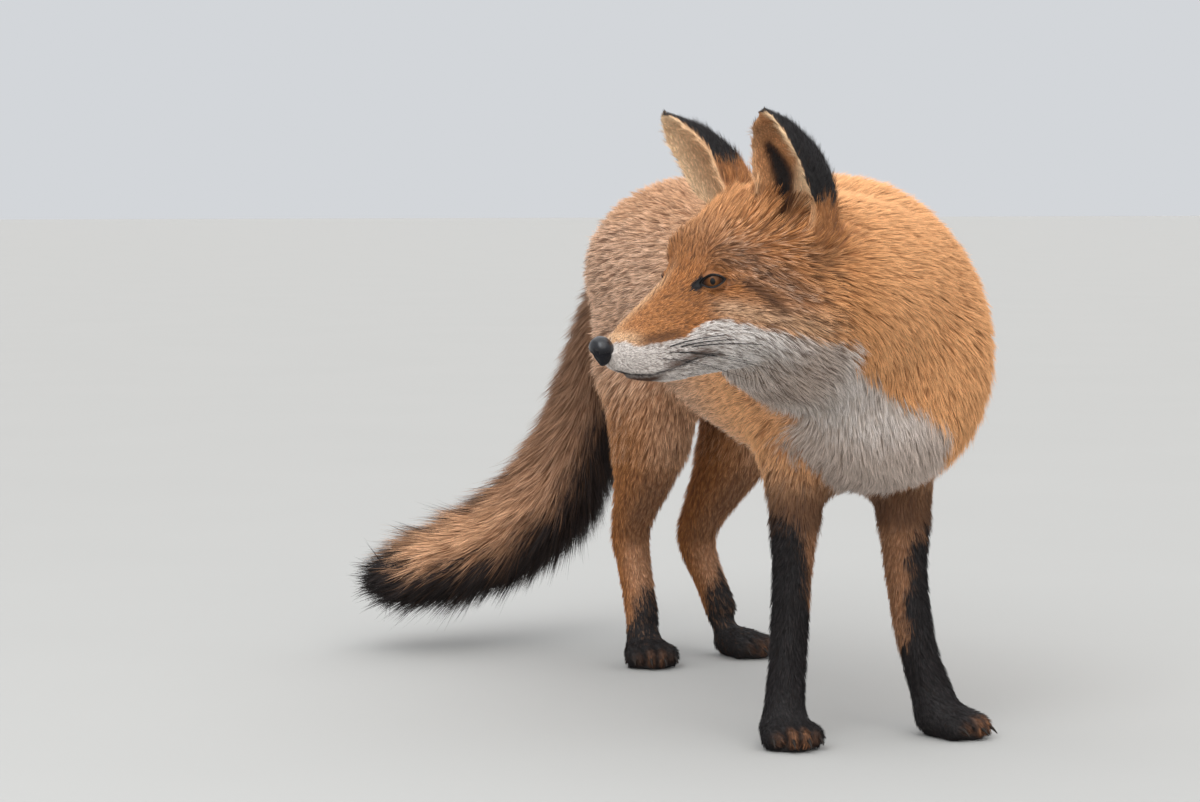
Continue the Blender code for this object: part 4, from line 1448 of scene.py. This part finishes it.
def ball(name, place, half_sizes, columns, rows, shape=None):
    """A closed ball with poles up and down its own z, its points moved by shape from their directions."""
    angles = np.linspace(0, 2 * math.pi, columns, endpoint=False)
    heights = np.linspace(0, math.pi, rows + 1)[1:-1]
    directions = [(0, 0, 1)]
    for h in heights:
        directions += [(math.sin(h) * math.cos(a), math.sin(h) * math.sin(a), math.cos(h)) for a in angles]
    directions = np.array([*directions, (0, 0, -1)])
    local = directions * np.array(half_sizes)
    if shape:
        local = shape(directions, local)
    points = local @ np.array(place.to_3x3()).T + np.array(place.translation)
    faces = []
    last = len(points) - 1
    for column in range(columns):
        after = (column + 1) % columns
        faces.append((0, 1 + column, 1 + after))
        for row in range(rows - 2):
            a, b = 1 + row * columns, 1 + (row + 1) * columns
            faces.append((a + column, b + column, b + after, a + after))
        bottom = 1 + (rows - 2) * columns
        faces.append((bottom + column, last, bottom + after))
    mesh = bpy.data.meshes.new(name)
    mesh.from_pydata(points.tolist(), [], faces)
    smooth(mesh)
    return object_of(name, mesh), directions


def make_eye(side, name):
    """An eyeball, with how far across and upright of its gaze each point lies."""
    centre, inner, above, gaze = eye_frame(side)
    turn = Matrix((inner, above, gaze)).transposed()
    if turn.determinant() < 0:
        turn = Matrix((-inner, above, gaze)).transposed()
    place = Matrix.Translation(centre) @ turn.to_4x4()
    obj, directions = ball(f"eyeball_{name}", place, (eye_radius(name),) * 3, 64, 48)
    write_attribute(obj.data, "across", directions[:, 0])
    write_attribute(obj.data, "upright", directions[:, 1])
    return obj


def eye_finish():
    """A brown iris with spokes round an upright pupil, darker at its edge and beyond, under a clear coat."""
    finish = Finish("fox_eye")
    across = finish.attribute("across")
    upright = finish.attribute("upright")
    half_width, half_height = PUPIL
    away = (across * across + upright * upright).maths("SQRT")
    spokes = finish.noise(1400.0, 2.0)
    pupil = (across / half_width) * (across / half_width) + (upright / half_height) * (upright / half_height)
    pupil = pupil.maths("SQRT")
    iris = finish.mix(away.ease(0.15, 0.62), colour("iris"), colour("iris_edge"))
    iris = finish.shade(iris, 0.6 + 0.8 * spokes)
    iris = finish.mix(pupil.ease(1.15, 0.85), iris, colour("pupil"))
    white = finish.mix(away.ease(0.60, 0.68), iris, colour("eye_corner"))
    shine = {"Specular_IOR_Level": 0.1, "Coat_Weight": 0.16, "Coat_Roughness": 0.03}
    return finish.surface(Base_Color=white, Roughness=0.3, **shine)


def make_lid_rim(side, name):
    """The bare dark edge of the lids, as a thin closed ring that lies on the eyeball."""
    centre, inner, above, gaze = np.array(eye_frame(side))
    radius = eye_radius(name)
    steps, sides = 96, 8
    points = []
    for step in range(steps):
        angle = 2 * math.pi * step / steps
        c, s = math.cos(angle), math.sin(angle)
        a, b = eye_outline(c, s)
        out = math.sqrt(max(radius**2 - a * a - b * b, (0.35 * radius) ** 2))
        spot = a * inner + b * above + out * gaze
        radial = spot / np.linalg.norm(spot)
        aside = unit(a * inner + b * above + 1e-9 * inner)
        thick = (0.80 + 0.40 * c if s > 0 else 0.42) * MM
        for turn in range(sides):
            around = 2 * math.pi * turn / sides
            offset = math.cos(around) * aside + math.sin(around) * radial
            points.append(centre + spot + radial * 0.35 * MM + thick * offset)
    faces = []
    for step in range(steps):
        here, there = step * sides, (step + 1) % steps * sides
        for turn in range(sides):
            beside = (turn + 1) % sides
            faces.append((here + turn, there + turn, there + beside, here + beside))
    return closed_piece(f"lid_rim_{name}", points, faces)


def closed_piece(name, points, faces):
    """A smooth closed mesh with its faces turned outwards."""
    mesh = bpy.data.meshes.new(name)
    mesh.from_pydata([tuple(point) for point in points], [], faces)
    form = bmesh.new()
    form.from_mesh(mesh)
    bmesh.ops.remove_doubles(form, verts=form.verts, dist=1e-6)
    bmesh.ops.recalc_face_normals(form, faces=form.faces)
    form.to_mesh(mesh)
    form.free()
    smooth(mesh)
    return object_of(name, mesh)


def hollow(across, up, half_width, half_height):
    """A rounded hollow, 1 at its middle."""
    return np.exp(-((across / half_width) ** 2 + (up / half_height) ** 2))


def nose_shape(directions, local):
    """The pad's flattened front that draws in below, its nostrils with their slits, and its groove."""
    x, y, z = directions.T
    local = local.copy()
    low = ease(0.35, -1.0, z)
    local[:, 0] *= 1 - 0.58 * low - 0.05 * ease(0.3, 1.0, z)
    flat_front = (1 - 0.66 * low) * (1 - 0.12 * ease(-0.5, -1, y))
    local[:, 1] *= np.where(y < 0, flat_front, 1)
    sunk = 0.8 * bell(x, 0, 0.07) * ease(0.30, -0.2, z) * ease(0, -0.4, y)
    for side in (-1, 1):
        nostril = hollow(x - 0.47 * side, z + 0.02, 0.19, 0.20) * (y < 0)
        slit = hollow(x - 0.84 * side, z + 0.26 - 0.25 * (np.abs(x) - 0.6), 0.26, 0.11) * (y < 0.25)
        sunk += 2.0 * nostril + 0.9 * slit
    return local - directions * (sunk * MM)[:, None]


def make_nose():
    """The nose pad, drawn a little ahead of the solid's middle and down."""
    centre = middle_of("nose") + HEAD_TURN @ Vector((0, -0.0016, -0.0008))
    place = Matrix.Translation(centre) @ HEAD_TURN.to_4x4()
    obj, directions = ball("nose_pad", place, NOSE_HALF_SIZES, 96, 72, nose_shape)
    write_attribute(obj.data, "upright", directions[:, 2])
    return obj


def bare_finish(name, base, rough, grain, height, coat, gloss=0.3, lit_side=None):
    """Bare skin or horn with a fine grain. The coat of shine can fade away from one side."""
    finish = Finish(name)
    if lit_side:
        coat = finish.attribute(lit_side).ease(-0.25, 0.45) * coat
    cells = finish.node("ShaderNodeTexVoronoi", None, {"Vector": finish.place(), "Scale": grain})
    bump = finish.bump(cells, 0.6, height)
    tone = finish.shade(colour(base), 0.75 + 0.5 * finish.noise(grain / 3))
    shine = {"Specular_IOR_Level": gloss, "Coat_Weight": coat, "Coat_Roughness": 0.25}
    return finish.surface(Base_Color=tone, Roughness=rough, Normal=bump, **shine)


def tube_tree():
    """Geometry nodes that turn curves into closed tapering tubes."""
    tree = bpy.data.node_groups.new("tapered_tubes", "GeometryNodeTree")
    face = tree.interface
    face.new_socket("Geometry", in_out="INPUT", socket_type="NodeSocketGeometry")
    face.new_socket("Thickness", in_out="INPUT", socket_type="NodeSocketFloat")
    face.new_socket("Sides", in_out="INPUT", socket_type="NodeSocketInt")
    face.new_socket("Finish", in_out="INPUT", socket_type="NodeSocketMaterial")
    face.new_socket("Geometry", in_out="OUTPUT", socket_type="NodeSocketGeometry")
    add = tree.nodes.new
    start, end = add("NodeGroupInput"), add("NodeGroupOutput")
    circle, sweep = add("GeometryNodeCurvePrimitiveCircle"), add("GeometryNodeCurveToMesh")
    radius = add("GeometryNodeInputRadius")
    real, finish = add("GeometryNodeRealizeInstances"), add("GeometryNodeSetMaterial")
    sweep.inputs["Fill Caps"].default_value = True
    join = tree.links.new
    join(start.outputs["Thickness"], circle.inputs["Radius"])
    join(start.outputs["Sides"], circle.inputs["Resolution"])
    join(start.outputs["Geometry"], sweep.inputs["Curve"])
    join(circle.outputs["Curve"], sweep.inputs["Profile Curve"])
    if "Scale" in sweep.inputs:
        join(radius.outputs["Radius"], sweep.inputs["Scale"])
    join(sweep.outputs["Mesh"], real.inputs["Geometry"])
    join(real.outputs["Geometry"], finish.inputs["Geometry"])
    join(start.outputs["Finish"], finish.inputs["Material"])
    join(finish.outputs["Geometry"], end.inputs["Geometry"])
    return tree


def swept(name, paths, thickness, sides, finish, tree):
    """Closed tubes along paths of points, each with its share of the thickness."""
    curve = bpy.data.curves.new(name, "CURVE")
    curve.dimensions = "3D"
    for path in paths:
        spline = curve.splines.new("POLY")
        spline.points.add(len(path) - 1)
        for spot, (point, share) in zip(spline.points, path):
            spot.co = (*point, 1)
            spot.radius = share
    source = object_of(name + "_path", curve)
    modifier = source.modifiers.new("tubes", "NODES")
    modifier.node_group = tree
    names = {item.name: item.identifier for item in tree.interface.items_tree if item.in_out == "INPUT"}
    modifier[names["Thickness"]] = thickness
    modifier[names["Sides"]] = sides
    modifier[names["Finish"]] = finish
    mesh = evaluated(source)
    bpy.data.objects.remove(source)
    smooth(mesh)
    return object_of(name, mesh)


def on_cheek(skin, side, out, ahead, level):
    """The place on the skin beside a point in the head, seen from that side."""
    start = HEAD @ Vector((side * out, -ahead, level))
    return skin.tree.ray_cast(start, HEAD_TURN @ Vector((-side, 0, 0)))[0]


def whisker_paths(skin, side):
    """Long stiff hairs from the whisker pad, swept back past the cheek, and two over the eye."""
    draw = np.random.default_rng(SEED + side)
    paths = []
    for first, level, number, thick, reach, steep in WHISKER_ROWS:
        for column in range(number):
            spot = on_cheek(skin, side, 0.05, first - 0.0068 * column, level - 0.0007 * column)
            length = reach + 0.006 * column + draw.uniform(-0.004, 0.006)
            rise = steep - 0.07 * column + draw.uniform(-0.02, 0.02)
            path = []
            for share in np.linspace(0, 1, 12):
                out = 0.50 * share - 0.20 * share**2
                back = (0.60 + 0.40 * share) * share
                up = rise * share + (0.12 - 0.20 * share) * share
                step = Vector((side * out, back, up)) * length
                path.append((spot + HEAD_TURN @ step, thick * (1.0 - 0.85 * share)))
            paths.append(path)
    for ahead, level, lean in ((0.006, 0.013, 0.5), (0.002, 0.014, 0.7)):
        spot = on_cheek(skin, side, 0.07, ahead, level)
        path = []
        for share in np.linspace(0, 1, 8):
            back = (lean + 0.5 * share) * share
            up = 0.6 * share - 0.3 * share**2
            step = Vector((side * (0.35 * share), back, up)) * 0.020
            path.append((spot + HEAD_TURN @ step, 0.5 * (1.0 - 0.92 * share)))
        paths.append(path)
    return paths


def claw_paths(paw):
    """A claw's curve from inside each toe, dropping a little towards its tip."""
    paths = []
    for step in TOES:
        toe = toe_frame(paw, step)
        path = []
        for share in np.linspace(0, 1, 9):
            reach = TOE_RADIUS * 0.9 + CLAW_LENGTH * 0.66 * share
            drop = 0.0003 - 0.0050 * share**2
            path.append((toe @ Vector((0, -reach, drop)), 1 - 0.85 * share**1.5))
        paths.append(path)
    return paths


# ---- the stage


def light(name, kind, energy, towards, tint=(1, 1, 1), **settings):
    """A light that shines in a direction."""
    lamp = bpy.data.lights.new(name, kind)
    lamp.energy = energy
    lamp.color = tint
    for key, value in settings.items():
        setattr(lamp, key, value)
    obj = object_of(name, lamp)
    obj.rotation_mode = "QUATERNION"
    obj.rotation_quaternion = Vector(towards).to_track_quat("-Z", "Y")
    return obj


def make_floor():
    finish = Finish("pale_floor")
    tone = finish.shade(colour("floor"), 0.98 + 0.04 * finish.noise(3.0))
    far = FLOOR_HALF_SIZE
    corners = np.array([(-far, -far, 0), (far, -far, 0), (far, far, 0), (-far, far, 0)])
    floor = object_of("floor", mesh_of("floor", corners, np.array([(0, 1, 2, 3)])))
    floor.data.materials.append(finish.surface(Base_Color=tone, Roughness=0.9))


def stage():
    """The floor, soft light from above and in front, a round light for the eyes' gleam, and the camera."""
    scene = bpy.context.scene
    make_floor()
    world = bpy.data.worlds.new("studio")
    world.use_nodes = True
    background = world.node_tree.nodes["Background"]
    background.inputs["Color"].default_value = colour("studio")
    background.inputs["Strength"].default_value = 0.70
    scene.world = world
    light("overhead", "SUN", 1.50, (-0.15, -0.25, -1.0), angle=math.radians(100))
    light("front", "SUN", 1.90, (0.35, 0.95, -0.72), (1, 0.98, 0.95), angle=math.radians(80))
    towards_eyes = Vector((0.85, 0.85, -1.20))
    gleam = light("eye_light", "AREA", 9, towards_eyes, (0.86, 0.94, 1.0), shape="DISK", size=1.0)
    gleam.location = ORIGIN + EYES_MIDDLE - towards_eyes
    scene.view_settings.view_transform = "Standard"
    camera = object_of("camera", bpy.data.cameras.new("camera"))
    camera.data.lens = CAMERA_LENS
    camera.data.sensor_width = 36
    camera.location = ORIGIN + Vector(CAMERA_PLACE)
    camera.rotation_euler = (math.radians(90 - CAMERA_TILTED_DOWN), 0, math.radians(CAMERA_TURNED))
    scene.camera = camera


# ---- the model


def finished(obj, material, slot_name, *nodes):
    """Gives a piece its material and its body, and hides the nodes it stands for. Its slot_name is not used.
    """
    if material:
        obj.data.materials.clear()
        obj.data.materials.append(material)
    if nodes:
        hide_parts(*nodes)
    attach(obj, "root")


def main():
    """The skin, the coat's pieces, then the eyes, nose, whiskers and claws on the stage."""
    skin = make_skin()
    body = object_of("fur_skin", skin.mesh)
    unwrap(body)
    ready_to_grow(skin)
    flesh = [name for name in NAMES if not name.startswith(("eye", "nose"))]
    finished(body, skin_finish(), "orange_coat", *flesh)
    coat = coat_finish("fox_coat")
    for name in PIECES:
        finished(grow(skin, name), coat, COAT_SLOTS.get(name, "orange_coat"))
    eye = eye_finish()
    rim = bare_finish("lid_skin", "lid", rough=0.5, grain=3000.0, height=0.0001, coat=0.0, gloss=0.12)
    sides = ((1, "left"), (-1, "right"))
    for side, name in sides:
        finished(make_eye(side, name), eye, "eye", f"eye_{name}")
        finished(make_lid_rim(side, name), rim, "bare_black")
    moist = {"coat": 0.75, "gloss": 0.16, "lit_side": "upright"}
    pad = bare_finish("nose_skin", "nose", rough=0.42, grain=1600.0, height=0.0004, **moist)
    finished(make_nose(), pad, "bare_black", "nose")
    horn = bare_finish("claw_horn", "claw", rough=0.75, grain=600.0, height=0.0001, coat=0.0)
    hair = bare_finish("whisker_hair", "whisker", rough=0.35, grain=2000.0, height=0.00005, coat=0.2)
    tree = tube_tree()
    for side, name in sides:
        whiskers = swept(f"whiskers_{name}", whisker_paths(skin, side), 0.00050, 5, hair, tree)
        finished(whiskers, None, "black_coat")
    for paw in PAWS:
        claws = swept(f"claws_{paw}", claw_paths(paw), 0.0017, 10, horn, tree)
        finished(claws, None, "bare_black")
    stage()


main()
